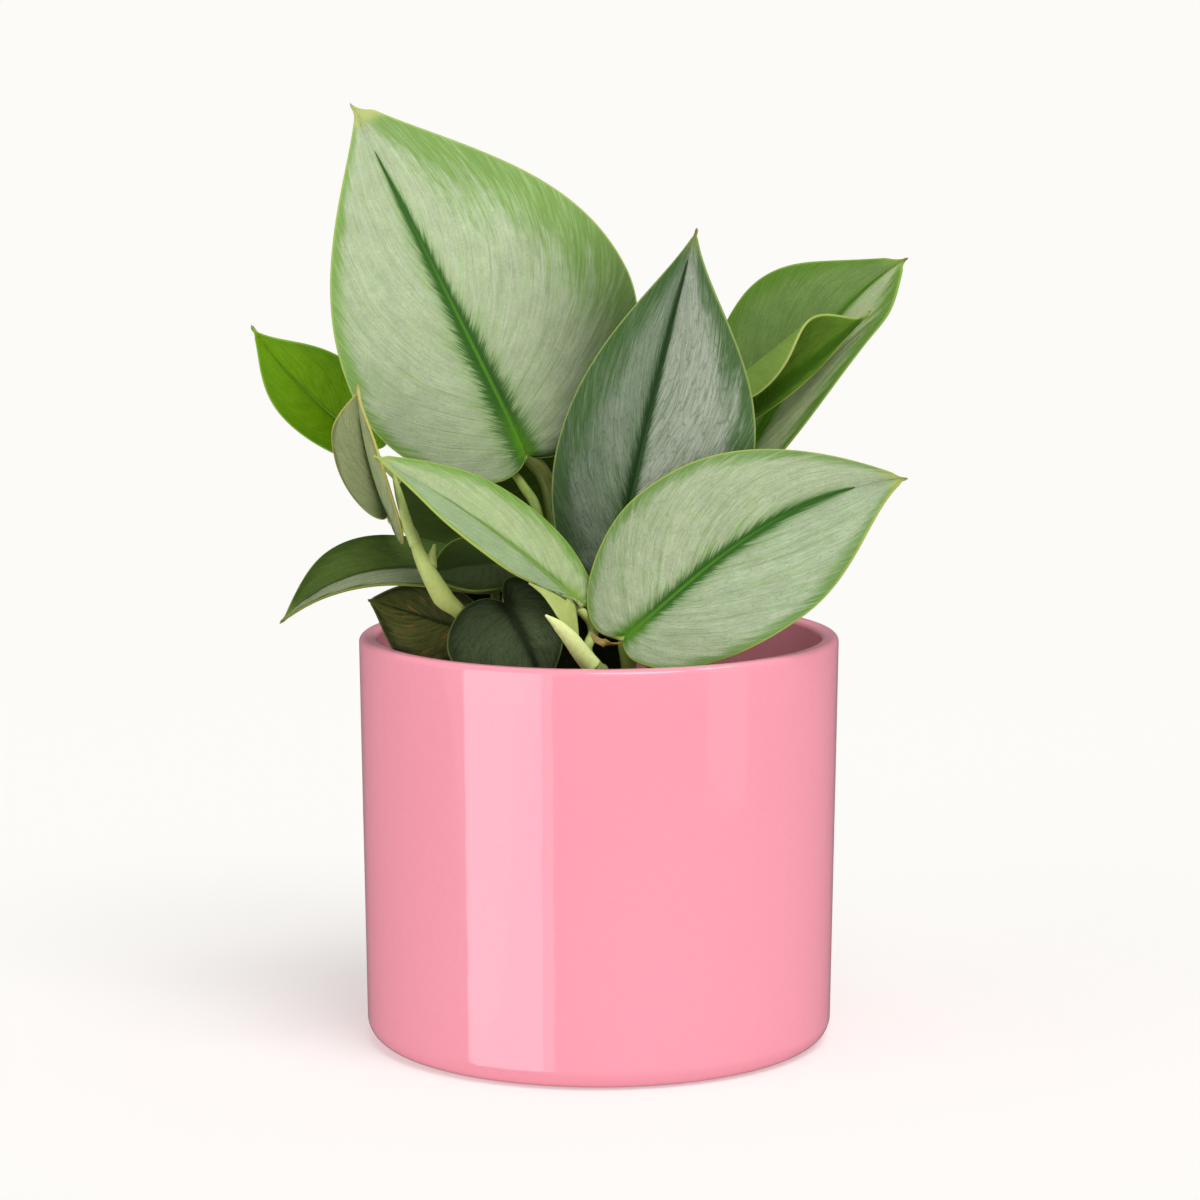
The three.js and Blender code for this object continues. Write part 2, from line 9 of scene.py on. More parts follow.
import bmesh
import bpy
import numpy as np
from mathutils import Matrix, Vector


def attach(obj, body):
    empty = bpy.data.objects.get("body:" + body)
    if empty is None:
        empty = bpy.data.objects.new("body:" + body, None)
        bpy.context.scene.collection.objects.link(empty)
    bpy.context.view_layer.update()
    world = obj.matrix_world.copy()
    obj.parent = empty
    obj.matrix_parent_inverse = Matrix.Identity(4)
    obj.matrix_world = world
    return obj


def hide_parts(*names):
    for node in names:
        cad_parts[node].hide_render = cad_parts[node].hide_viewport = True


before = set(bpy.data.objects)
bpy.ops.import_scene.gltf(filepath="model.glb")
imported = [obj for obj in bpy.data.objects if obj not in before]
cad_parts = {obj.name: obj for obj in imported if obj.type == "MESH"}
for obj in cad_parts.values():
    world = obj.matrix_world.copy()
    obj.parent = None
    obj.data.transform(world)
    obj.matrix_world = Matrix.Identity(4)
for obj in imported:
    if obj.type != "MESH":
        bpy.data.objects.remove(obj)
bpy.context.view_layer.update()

MM = 0.001

# Stage, in linear light
BACKDROP = (0.973, 0.964, 0.940)
FLOOR_PAINT = (0.60, 0.594, 0.58)
FLOOR_GLOW = 0.37
ROOM_LIGHT = 0.52
ROOM_SHINE = 0.15
KEY_LIGHT = 1.75
FILL_LIGHT = 0.42
ROOM_COLOUR = (1.0, 0.995, 0.985, 1)
BLACK = (0, 0, 0, 1)
FLOOR_FADE = (0.25, 0.9)
WIDE = 60.0
CAMERA_PLACE = (0.00029, -1.013, 0.2607)
CAMERA_LENS = 115.9
CAMERA_DOWN = 8.06

# Sizes shared with the part's source
POT_HEIGHT = 108.4
POT_TOP_RADIUS = 63.5
POT_BASE_RADIUS = 62.0
POT_WALL = 4.7
POT_FLOOR = 5.5
LIP_ROUND = 1.7
FOOT_ROUND = 5.9
GAP = 0.3
SOIL_TOP = 84.0
SOIL_EDGE_DROP = 1.5
# Loose bits lie where the soil's normal rises above this, and tilt by up to this angle.
LEVEL_NORMAL = 0.6
BIT_TILT = 0.5
CHIPS_PER_M2, GRAINS_PER_M2 = 15600.0, 5200.0

# Shares of a half outline's curve: where it is widest, and where the drip tip starts
T_WIDEST = 0.5
T_DRIP = 0.92
# The vein that ends at share t of the outline leaves the midrib at t to this power.
RIB_POWER = 2.0
VEIN_SLANT = 0.32
# Rows and columns of a blade's mesh, for blades with a half wider than this and for smaller ones
LARGE_HALF_WIDTH = 20
FINE_GRID, SMALL_GRID = (110, 34), (70, 20)
SIDE_VEINS = 13
PETIOLE_DROP = 1.6
# A blade's section in mm: half thickness at its edge and what the middle adds, then height and
# width of the groove over the midrib, of the rib below it and of the side veins below, whose
# width is a share of their spacing
EDGE_HALF, BODY_HALF = 0.12, 0.26
GROOVE, LOWER_RIB, LOWER_VEINS = (0.28, 0.7), (0.65, 1.3), (0.10, 0.10)
# Long and short waves from base to tip, the quilting's height in mm, and the most that a wave
# rises at the edge, in mm and as a share of the half's width
LONG_WAVES, SHORT_WAVES, QUILT_HEIGHT = 1.7, 3.9, 0.09
MOST_WAVE, WAVE_SHARE = 0.7, 0.02
# More rows close to the tip, and more columns close to the midrib and the edge
TIP_ROWS, EDGE_COLUMNS = (0.93, 7), (0.01, 0.02, 0.035, 0.975, 0.99)
# A stalk's node is a swollen ring with a slight neck above it: by what share of the radius, and
# how wide in mm.
NODE_RING, NODE_NECK, NECK_RISE = (0.16, 1.1), (0.05, 0.7), 1.9
# How far a stalk's end stands out, as a share of its radius
END_ROUND = 0.35
# Material places in a leaf's skin
UPPER, LOWER, STALK = 0, 1, 2
# The first axis of a stalk's cross section is kept close to this line.
LEVEL_SIDE = (1, 0.2, 0)

# Canes: across is half their width from foot to top, and nodes are shares of their length.
STEMS = {
    "stem_centre": {
        "path": [(4, -4, 72), (3, -4, 88), (-2, -4, 106), (-7, -3.8, 120), (-11.5, -3.2, 131.5)],
        "across": (3.3, 2.3), "nodes": (0.28, 0.42, 0.62, 0.84, 0.97),
    },
    "stem_right": {
        "path": [(13, 5, 72), (14, 6, 90), (18.5, 8, 108), (25, 9.5, 125), (30, 10, 137)],
        "across": (3.0, 2.4), "nodes": (0.30, 0.55, 0.82, 0.96),
    },
    "stem_front": {
        "path": [(9, -37, 72), (8, -39, 86), (5.6, -42, 95), (2.4, -44.6, 101.4),
                 (-1.4, -46.4, 106.4)],
        "across": (3.1, 2.5), "nodes": (0.45, 0.72, 0.95),
    },
    "stem_left": {
        "path": [(-27, -26, 72), (-27.2, -27, 88), (-28.2, -28.4, 99), (-30.4, -30, 108),
                 (-33, -31.8, 115.4)],
        "across": (3.0, 2.4), "nodes": (0.40, 0.62, 0.80, 0.96),
    },
}

# Blades and petioles. face is the way a blade looks, and a pair holds the values of sides 0 and 1.
# width is a half's width in mm, and widest, lobe, full and drip shape the outline, as shares of
# the blade. fold and curl are degrees, and arch and sway are how far the midrib bows, in mm.
COMMON_SHAPE = dict(curl=(0, 0), arch=1, sway=0, drip=0.05, drip_width=(0.08, 0.08), radius=(1.3,) * 4)
LEAVES = {
    "leaf_large": dict(
        base=(-19, 4, 155.5), tip=(-66.3, 24, 247.6), face=(0.12, -1, 0.22), width=(35, 46),
        widest=(0.29, 0.31), lobe=(0.045, 0.05), full=(0.31, 0.27), fold=(8, 12), curl=(-8, -18), arch=5,
        sway=-0.5, drip=0.045, drip_width=(0.03, 0.10),
        petiole=[(-15.6, 5.4, 151.4), (-13.4, 4.6, 147), (-12.2, 1.8, 141), (-11.5, -1.4, 134.5)],
        radius=(2.2, 2.2, 2.0, 2.0)),
    "leaf_middle": dict(
        base=(4, -14, 123.9), tip=(25.6, -2, 215.5), face=(-0.12, -1, 0.15), width=(21.9, 29.5),
        widest=(0.32, 0.38), lobe=(0.06, 0.06), full=(0.245, 0.245), fold=(10, 12), curl=(-10, -14),
        arch=3, sway=-0.5, drip=0.03, drip_width=(0.035, 0.035),
        petiole=[(3.5, -11.5, 118), (1.5, -7.5, 110), (0.5, -4, 97.5)], radius=(2.0, 2.0, 1.9, 1.9)),
    "leaf_front": dict(
        base=(6.6, -38, 113.2), tip=(79.7, -22, 152), face=(-0.22, -1, 0.4), width=(26.8, 26.2),
        widest=(0.24, 0.46), lobe=(0.07, 0.04), full=(0.35, 0.36), fold=(8, 12), curl=(-10, -18), arch=4,
        sway=-6.3, peak=0.58, drip=0.03, drip_width=(0.08, 0.06), radius=(2.0, 2.0, 1.9, 1.9),
        petiole=[(7.4, -36.2, 107), (8.3, -36.2, 99), (7.8, -38.6, 89.5)]),
    "leaf_left_front": dict(
        base=(-4.6, -33.5, 120.6), tip=(-57.3, -38, 159.6), face=(0.2, -0.5, 0.85), width=(10.2, 13.8),
        widest=(0.44, 0.36), lobe=(-0.07, 0.05), full=(0.38, 0.38), fold=(6, 22), curl=(-8, -14), arch=4,
        sway=-1.6, drip=0.045, drip_width=(0.08, 0.14), radius=(1.5, 1.3, 1.0, 1.2),
        petiole=[(-4.2, -34, 118.8), (-2.4, -33.2, 117.1), (-1.4, -33, 115), (-1.5, -34.6, 113.1),
                 (-2.5, -37.6, 111.5), (-2.7, -40, 109.6), (-0.4, -42, 106.8), (1.6, -42.9, 104)]),
    "leaf_right_back": dict(
        base=(36, 13, 149), tip=(83.1, 28, 206.1), face=(-0.25, -1, 0.35), width=(24.0, 14.4),
        widest=(0.52, 0.6), lobe=(0.06, 0.06), full=(0.42, 0.78), fold=(6, 22), curl=(0, 10), arch=4,
        sway=-3.9, peak=0.6, drip_width=(0.14, 0.18), radius=(1.7,) * 4,
        petiole=[(35, 13.8, 144), (32.4, 13.2, 137), (26.6, 10, 128)]),
    "leaf_furled": dict(
        base=(32.7, 8, 161.1), tip=(72.2, 10, 193.2), face=(0.1, -1, 0.1), width=(22.4, 3),
        widest=(0.28, 0.4), lobe=(0.04, 0.05), full=(0.45, 0.3), fold=(-40, 8), curl=(225, 0), arch=0,
        sway=0.8, drip=0.08, drip_width=(0.05, 0.05), radius=(1.5, 1.5, 1.6, 1.6),
        petiole=[(31.8, 8.4, 154), (30.9, 8.8, 146), (29.6, 9.6, 136)]),
    "leaf_left_back": dict(
        base=(-62.3, 26, 155), tip=(-94.3, 34, 187.7), face=(0.05, -1, 0.15), width=(9.8, 14),
        widest=(0.40, 0.35), lobe=(0.07, 0.07), full=(0.32, 0.3), fold=(12, 12), curl=(-6, -6), arch=3,
        sway=-1.8, peak=0.62, drip=0.08, drip_width=(0.12, 0.08),
        petiole=[(-55.5, 22, 148.6), (-42, 17, 136), (-25, 10, 120), (-10, 1, 106), (0, -4, 99)],
        radius=(1.5, 1.5, 1.6, 1.6)),
    "leaf_left_folded": dict(
        base=(-54.5, -22, 142.4), tip=(-62.2, -20, 176.4), face=(-0.42, -1, 0.05), width=(9.1, 13),
        widest=(0.5, 0.3), lobe=(0.04, 0.2), full=(0.85, 0.25), fold=(10, 50), curl=(-8, 0), arch=2,
        sway=-0.8, drip=0.07, drip_width=(0.06, 0.05), radius=(1.5, 1.5, 1.5, 2.0, 2.4, 2.7, 2.0, 1.9),
        petiole=[(-53.4, -21.8, 141), (-50.8, -26.6, 140.8), (-48, -32, 139.2), (-45.9, -37, 134.8),
                 (-43.4, -39.3, 130), (-41.2, -38.8, 125.9), (-39.2, -37.8, 122.6), (-36.4, -36, 120),
                 (-33.9, -33, 117)]),
    "leaf_left_low": dict(
        base=(-27, -15, 125.6), tip=(-81.8, -34, 115.9), face=(0, -0.9, 0.7), width=(7.6, 12),
        widest=(0.16, 0.5), lobe=(0.06, 0.06), full=(0.35, 0.62), fold=(16, 4), curl=(-6, -26), arch=7,
        sway=5.4, peak=0.58, drip=0.04, radius=(1.6,) * 4,
        petiole=[(-27, -16.4, 120), (-26.2, -20.6, 112), (-26.6, -25.6, 104),
                 (-27.8, -28.8, 95)]),
    "leaf_behind": dict(
        base=(-29.6, 14, 154.4), tip=(-22.3, 3, 111.5), face=(0, 1, -0.3), width=(26, 22),
        widest=(0.12, 0.2), lobe=(0.05, 0.08), full=(0.3, 0.5), fold=(4, 4),
        petiole=[(-27.4, 10.8, 153.6), (-24.6, 8.4, 152), (-21.8, 6, 149.4), (-19.6, 3, 146.6),
                 (-17.2, 0, 143.4), (-15.4, -2.8, 138), (-13.2, -4, 131.5), (-10.4, -4, 126)]),
    "leaf_small_dark": dict(
        base=(-22.6, -19, 129.4), tip=(-43.8, -31, 128.2), face=(0, -0.8, 0.6), width=(9.4, 8.0),
        widest=(0.45, 0.45), lobe=(0.08, 0.08), full=(0.6, 0.6), fold=(8, 8), arch=2,
        drip_width=(0.25, 0.2), petiole=[(-19.5, -14.5, 127.4), (-13.4, -7.6, 123.6), (-7.6, -3.8, 121)]),
    "leaf_pot_left": dict(
        base=(-33.2, -25, 112.6), tip=(-60.3, -15.5, 119.5), face=(0.25, -1, 0.12), width=(13.4, 9.4),
        widest=(0.34, 0.28), lobe=(0.08, 0.12), full=(0.26, 0.45), fold=(4, 4), arch=2,
        drip_width=(0.08, 0.12), radius=(1.4,) * 4,
        petiole=[(-31.6, -25.2, 110), (-30.6, -25.8, 105), (-29.4, -28, 98)]),
    "leaf_pot_front": dict(
        base=(-24.1, -37.5, 121.7), tip=(-13.6, -45.9, 98.8), face=(0.02, -1, 0.25), width=(11.8, 19.2),
        widest=(0.22, 0.3), lobe=(0.2, 0.13), full=(0.3, 0.4), fold=(-4, 4), curl=(-10, -6), arch=2,
        sway=-1, radius=(1.4, 1.4, 1.5, 1.5),
        petiole=[(-23.4, -36.0, 120.8), (-23.6, -33.4, 116.8), (-26, -30.9, 109), (-28.8, -29.8, 100)]),
    # leaf_inner and leaf_deep are dark leaves set deep among the stems, filling the shadowed inside of the
    # plant.
    "leaf_inner": dict(
        base=(2.6, -24, 99.2), tip=(-6.9, -27, 119.5), face=(0, -1, 0.25), width=(12.5, 12),
        widest=(0.45, 0.4), lobe=(0.08, 0.08), full=(0.8, 0.45), fold=(6, 6),
        petiole=[(2.9, -20.5, 96.5), (3.2, -13, 91.5), (3.1, -5, 88)]),
    "leaf_deep": dict(
        base=(-6, -11, 102.6), tip=(-46, -10.5, 119.1), face=(0, -1, 0.1), width=(8, 15.8),
        widest=(0.4, 0.33), lobe=(0.06, 0.1), full=(0.4, 0.36), fold=(4, 4),
        petiole=[(-5, -10.5, 100.5), (-3.4, -8.6, 95), (-1, -5.5, 90), (1.2, -4.6, 88.5)]),
}
LEAVES = {name: {**COMMON_SHAPE, **leaf} for name, leaf in LEAVES.items()}

# Each leaf's upper face: colours as sRGB bytes, and the sizes of its markings.
# Side 0 is the half on the blade's left as it faces you, with its tip up.
# feather is the dark band along the midrib: its reach in mm, where it ends, how wide it starts
# and how fast it fades. halves scales it, and margin is the green band, for the two sides.
# The shade pair is painted shade: it darkens each half near its base, most towards the edge.
COMMON_LOOK = dict(
    tip=(150, 120, 60), feather=(0.8, 0.9, 1.0, 0.8), halves=(1, 1), rib_mm=0.5, margin=(0.2, 0.2),
    streaks=0.5, crackle=0.0, shade=(0, 0), scars=0.0, gloss=0.07, tip_start=0.968)
UNDERSIDE_GLOSS, STALK_GLOSS = 0.1, 0.28
UNDERSIDE_EDGE = (176, 186, 104)
GLAZE_DARK, GLAZE_LIGHT = (255, 159, 178), (255, 168, 187)
LEAF_LOOKS = {
    "leaf_large": dict(
        silver=((182, 196, 160), (188, 202, 165)), green=(126, 165, 80), deep=(38, 92, 14),
        rib=(96, 154, 34), edge=(176, 198, 100), tip=(190, 202, 124), feather=(7.4, 0.86, 1.0, 0.8),
        halves=(1.1, 0.8), rib_mm=1.0, margin=(0.08, 0.30), crackle=0.15, shade=(0.24, 0.9),
        tip_start=0.92, gloss=0.1),
    # leaf_middle's lighter silver on side 1 is painted sheen.
    "leaf_middle": dict(
        silver=((134, 147, 126), (168, 176, 158)), green=(62, 98, 42), deep=(26, 58, 14),
        rib=(50, 88, 30), edge=(148, 168, 88), tip=(138, 112, 60), feather=(4.8, 0.92, 0.9, 0.7),
        halves=(1.2, 0.6), rib_mm=0.7, margin=(0.30, 0.20), streaks=0.60, crackle=0.5, shade=(0.46, 0.2),
        gloss=0.14),
    "leaf_front": dict(
        silver=((178, 190, 156), (174, 188, 156)), green=(110, 146, 74), deep=(40, 92, 20),
        rib=(88, 142, 36), edge=(178, 190, 86), tip=(160, 138, 70), feather=(7.8, 0.84, 0.42, 0.6),
        halves=(0.85, 1.0), rib_mm=0.9, margin=(0.10, 0.09), streaks=0.75, crackle=0.35,
        shade=(0.16, 0.06), gloss=0.1),
    "leaf_left_front": dict(
        silver=((160, 180, 138), (176, 192, 144)), green=(110, 156, 54), deep=(104, 138, 70),
        rib=(142, 178, 76), edge=(184, 198, 96), tip=(184, 184, 100), feather=(1.8, 0.8, 1.0, 1.0),
        rib_mm=0.7, margin=(0.05, 0.24), streaks=0.55, gloss=0.1),
    "leaf_right_back": dict(
        silver=((112, 140, 76), (168, 182, 138)), green=(90, 130, 40), deep=(70, 116, 20),
        rib=(84, 142, 22), edge=(142, 176, 72), feather=(3.0, 0.95, 1.0, 0.6), rib_mm=0.8,
        margin=(0.14, 0.22)),
    "leaf_furled": dict(
        silver=((88, 120, 34), (122, 160, 58)), green=(94, 132, 36), deep=(60, 98, 16), rib=(60, 100, 12),
        edge=(168, 190, 96), feather=(5.0, 1.0, 1.0, 0.5), rib_mm=0.7, streaks=0.4),
    "leaf_left_back": dict(
        silver=((104, 150, 0), (106, 152, 0)), green=(92, 140, 0), deep=(78, 126, 0), rib=(144, 182, 62),
        edge=(150, 190, 66), feather=(1.4, 0.9, 1.0, 0.8), streaks=0.45),
    "leaf_left_folded": dict(
        silver=((144, 154, 108), (170, 182, 132)), green=(96, 108, 64), deep=(62, 78, 40),
        rib=(58, 74, 36), edge=(200, 190, 100), tip=(158, 136, 74), feather=(2.4, 0.8, 1.0, 0.6),
        halves=(1, 0.3), rib_mm=0.4, margin=(0.08, 0.05), streaks=0.7),
    "leaf_left_low": dict(
        silver=((138, 146, 116), (74, 94, 38)), green=(54, 76, 24), deep=(48, 70, 22), rib=(88, 104, 54),
        edge=(134, 148, 70), feather=(1.2, 0.9, 1.0, 0.8), margin=(0.1, 0.2)),
    "leaf_behind": dict(
        silver=((50, 60, 24), (50, 60, 24)), green=(44, 54, 20), deep=(36, 46, 14), rib=(62, 74, 28),
        edge=(104, 114, 52), feather=(1.0, 0.9, 1.0, 0.8)),
    "leaf_small_dark": dict(
        silver=((84, 98, 60), (58, 78, 30)), green=(56, 74, 28), deep=(48, 66, 26), rib=(76, 94, 44),
        edge=(136, 150, 72), rib_mm=0.4),
    "leaf_pot_left": dict(
        silver=((100, 104, 46), (80, 86, 34)), green=(24, 32, 10), deep=(32, 40, 14), rib=(58, 62, 30),
        edge=(120, 116, 58), tip=(150, 104, 52), rib_mm=0.4, streaks=0.9, scars=0.8),
    "leaf_pot_front": dict(
        silver=((74, 86, 58), (74, 86, 58)), green=(38, 52, 24), deep=(28, 38, 16), rib=(28, 40, 16),
        edge=(100, 116, 56), feather=(3.2, 0.9, 0.9, 0.7), margin=(0.14, 0.14), streaks=0.9, crackle=0.6,
        shade=(0.3, 0.3)),
    # The near-black colours of leaf_inner and leaf_deep are painted shade of the plant's shadowed inside.
    "leaf_inner": dict(
        silver=((36, 44, 18), (36, 44, 18)), green=(30, 38, 14), deep=(26, 34, 10), rib=(44, 54, 20),
        edge=(76, 84, 38)),
    "leaf_deep": dict(
        silver=((44, 52, 22), (38, 46, 20)), green=(34, 42, 16), deep=(28, 36, 12), rib=(48, 58, 24),
        edge=(80, 86, 40)),
}

def srgb(red, green, blue):
    """A colour of 0-255 sRGB values as linear RGBA."""
    def linear(value):
        value /= 255
        return value / 12.92 if value <= 0.04045 else ((value + 0.055) / 1.055) ** 2.4
    return (linear(red), linear(green), linear(blue), 1.0)


# Shader helpers
class Nodes:
    """Adds nodes to one tree and gives back their outputs."""

    def __init__(self, tree):
        self.tree = tree

    def put(self, socket, value):
        """Links a socket, or sets it to a plain value."""
        if isinstance(value, bpy.types.NodeSocket):
            self.tree.links.new(value, socket)
        else:
            socket.default_value = value

    def add(self, kind, inputs=None, **settings):
        node = self.tree.nodes.new(kind)
        for name, value in settings.items():
            setattr(node, name, value)
        for key, value in (inputs or {}).items():
            self.put(node.inputs[key], value)
        return node.outputs

    def maths(self, operation, *values, clamp=False):
        return self.add("ShaderNodeMath", dict(enumerate(values)), operation=operation, use_clamp=clamp)[0]

    times = partialmethod(maths, "MULTIPLY")
    plus = partialmethod(maths, "ADD")
    minus = partialmethod(maths, "SUBTRACT")
    line = partialmethod(maths, "MULTIPLY_ADD")
    size = partialmethod(maths, "ABSOLUTE")

    def rest(self, value):
        return self.minus(1.0, value)

    def rise(self, value, low, high):
        """Eases from 0 at the low value to 1 at the high one."""
        inputs = {"Value": value, "From Min": low, "From Max": high}
        return self.add("ShaderNodeMapRange", inputs, interpolation_type="SMOOTHSTEP")["Result"]

    def fall(self, value, low, high):
        return self.rest(self.rise(value, low, high))

    def mix(self, factor, first, second):
        return self.add("ShaderNodeMix", {0: factor, 6: first, 7: second}, data_type="RGBA")[2]

    def scaled(self, colour, factor):
        """A colour made lighter or darker by a factor."""
        return self.add("ShaderNodeVectorMath", {0: colour, "Scale": factor}, operation="SCALE")[0]

    def vector(self, x, y, z=0.0):
        return self.add("ShaderNodeCombineXYZ", {0: x, 1: y, 2: z})[0]

    def noise(self, place, scale, detail=2.0, roughness=0.5, distortion=0.0):
        return self.add("ShaderNodeTexNoise", {
            "Vector": place, "Scale": scale, "Detail": detail, "Roughness": roughness,
            "Distortion": distortion})["Fac"]

    def attribute(self, name):
        """The three numbers of a vector attribute."""
        source = self.add("ShaderNodeAttribute", attribute_name=name)["Vector"]
        return tuple(self.add("ShaderNodeSeparateXYZ", {0: source}))

    def place(self):
        return self.add("ShaderNodeTexCoord")["Object"]


class Paint(Nodes):
    """A material, its nodes and its main shader."""

    def __init__(self, name):
        self.material = bpy.data.materials.new(name)
        self.material.use_nodes = True
        super().__init__(self.material.node_tree)
        self.sockets = self.tree.nodes["Principled BSDF"].inputs

    def cover(self, colour, roughness, gloss=None):
        self.put(self.sockets["Base Color"], colour)
        self.put(self.sockets["Roughness"], roughness)
        if gloss is not None:
            self.sockets["Specular IOR Level"].default_value = gloss
        return self.material

    def glow(self, strength):
        """Shines with the backdrop's colour."""
        self.sockets["Emission Color"].default_value = (*BACKDROP, 1)
        self.put(self.sockets["Emission Strength"], strength)
        return self.material

    def bump(self, height, distance, strength=1.0):
        inputs = {"Strength": strength, "Distance": distance, "Height": height}
        self.put(self.sockets["Normal"], self.add("ShaderNodeBump", inputs)[0])


# What one leaf's look tells the shared pattern
PATTERN_COLOURS = ("Silver 0", "Silver 1", "Green", "Deep", "Rib", "Edge", "Tip")
PATTERN_NUMBERS = (
    "Feather 0", "Feather 1", "Feather End", "Feather Start", "Feather Fade", "Rib Width",
    "Margin 0", "Margin 1", "Streaks", "Crackle", "Shade 0", "Shade 1", "Scars", "Tip Start", "Seed")


def leaf_pattern_group():
    """Silver blade, dark feather along the midrib, green margin, veins and yellowish edge."""
    tree = bpy.data.node_groups.new("leaf pattern", "ShaderNodeTree")
    results = ("Color", "Roughness", "Height")
    for way, labels in (("INPUT", PATTERN_COLOURS + PATTERN_NUMBERS), ("OUTPUT", results)):
        for label in labels:
            kind = "NodeSocketColor" if label in (*PATTERN_COLOURS, "Color") else "NodeSocketFloat"
            tree.interface.new_socket(name=label, in_out=way, socket_type=kind)
    n = Nodes(tree)
    given, out = n.add("NodeGroupInput"), tree.nodes.new("NodeGroupOutput").inputs
    times, plus, line, rise, fall, mix = n.times, n.plus, n.line, n.rise, n.fall, n.mix

    def either(label):
        """The value of the side that a point is on."""
        return plus(times(n.rest(side), given[label + " 0"]), times(side, given[label + " 1"]))

    def along_veins(around, outwards, *settings):
        """Noise drawn out along the veins."""
        return n.noise(n.vector(line(vein, around, shift), times(reach, outwards), shift), 1.0, *settings)

    turn, across, along = n.attribute("leaf_place")
    wide, _, from_edge = n.attribute("leaf_flat")
    out_from_rib = n.size(wide)
    reach = n.size(across)
    side = n.maths("GREATER_THAN", across, 0.0)
    shift = plus(times(side, 7.3), given["Seed"])
    # A vein leaves the midrib at a sharp angle and ends nearly along the margin.
    vein = line(reach, -VEIN_SLANT, turn)
    broad = along_veins(36.0, 1.6, 3.0, 0.6)
    fine = along_veins(190.0, 7.0, 3.0, 0.65, 0.4)
    patches = along_veins(9.0, 1.3, 2.0)
    blobs = along_veins(24.0, 4.2, 4.0, 0.65, 0.8)
    mottle = n.noise(n.place(), 190.0, 4.0, 0.65)
    stipple = n.noise(n.place(), 1500.0, 2.0, 0.6)

    silver = mix(side, given["Silver 0"], given["Silver 1"])
    streaks = times(rise(line(broad, 0.4, times(fine, 0.6)), 0.46, 0.68), given["Streaks"])
    body = mix(streaks, silver, given["Green"])
    scratches = n.minus(rise(fine, 0.3, 0.7), 0.5)
    light = line(scratches, 0.34, line(mottle, 0.44, line(stipple, 0.34, 0.61)))
    body = n.scaled(body, light)

    crack_place = n.vector(plus(times(vein, 60.0), times(mottle, 1.5)), times(reach, 9.0), shift)
    crack = n.add("ShaderNodeTexVoronoi", {"Vector": crack_place, "Scale": 1.0}, feature="DISTANCE_TO_EDGE")
    lines = times(fall(crack["Distance"], 0.0, 0.09), given["Crackle"])
    body = mix(times(lines, 0.8), body, given["Green"])

    margin_width = times(either("Margin"), line(patches, 2.0, 0.8))
    band = n.maths("DIVIDE", n.rest(reach), margin_width)
    ragged_edge = times(n.minus(blobs, 0.5), 1.5)
    band = plus(band, line(n.minus(fine, 0.5), 0.5, ragged_edge))
    margin = fall(band, 0.15, 1.0)
    green = n.scaled(given["Green"], line(fine, 0.5, 0.76))
    green = mix(times(rise(fine, 0.48, 0.72), 0.4), green, body)
    body = mix(times(margin, 0.94), body, green)

    side_vein = n.maths("FRACT", line(vein, SIDE_VEINS, times(shift, 0.13)))
    side_vein = fall(n.size(n.minus(side_vein, 0.5)), 0.0, 0.08)
    side_vein = times(side_vein, fall(reach, 0.55, 0.95))
    body = mix(times(side_vein, 0.14), body, given["Green"])

    spent = n.maths("DIVIDE", along, given["Feather End"])
    spent = n.maths("MAXIMUM", n.maths("MINIMUM", spent, 1.0), 0.0)
    profile = n.maths("POWER", n.rest(spent), given["Feather Fade"])
    swell = plus(given["Feather Start"], times(n.rest(given["Feather Start"]), spent))
    feather_mm = times(either("Feather"), times(profile, swell))
    barbs = rise(fine, 0.34, 0.72)
    feather_reach = times(feather_mm, line(barbs, 0.75, line(broad, 0.7, times(blobs, 0.5))))
    feather = fall(out_from_rib, times(feather_reach, 0.3), line(feather_reach, 0.95, 0.05))
    halo = fall(out_from_rib, times(feather_reach, 0.6), line(feather_reach, 1.8, 0.05))
    body = mix(times(halo, 0.5), body, given["Green"])
    body = mix(times(feather, 0.95), body, n.scaled(given["Deep"], line(fine, 0.7, 0.65)))

    rib_width = times(given["Rib Width"], line(along, -0.9, 1.0))
    rib = fall(out_from_rib, times(rib_width, 0.1), rib_width)
    rib = times(rib, fall(along, 0.2, 0.8))
    body = mix(times(rib, 0.8), body, given["Rib"])
    glow = times(fall(along, 0.0, 0.17), fall(out_from_rib, 0.4, 4.5))
    body = mix(times(glow, 0.85), body, given["Rib"])
    # Painted shade: darker near the base, most towards the edge.
    shaded = times(either("Shade"), fall(along, 0.0, 0.6))
    shaded = times(shaded, line(rise(reach, 0.1, 0.9), 0.8, 0.2))
    body = n.scaled(body, n.rest(shaded))
    scars = n.noise(n.vector(times(vein, 26.0), times(reach, 2.2), shift), 1.0, 2.0, 0.5)
    body = mix(times(rise(scars, 0.66, 0.71), given["Scars"]), body, given["Tip"])

    rim = fall(from_edge, 0.12, line(mottle, 0.5, 0.35))
    body = mix(times(rim, 0.85), body, given["Edge"])
    body = mix(times(rise(along, 0.90, 0.98), 0.6), body, given["Edge"])
    body = mix(rise(along, given["Tip Start"], plus(given["Tip Start"], 0.03)), body, given["Tip"])
    n.put(out["Color"], body)
    n.put(out["Roughness"], line(mottle, 0.18, line(fine, 0.14, 0.28)))
    height = line(side_vein, -0.35, line(fine, 0.55, times(broad, 0.5)))
    n.put(out["Height"], line(stipple, 0.15, line(lines, -0.5, height)))
    return tree


LEAF_PATTERN = leaf_pattern_group()


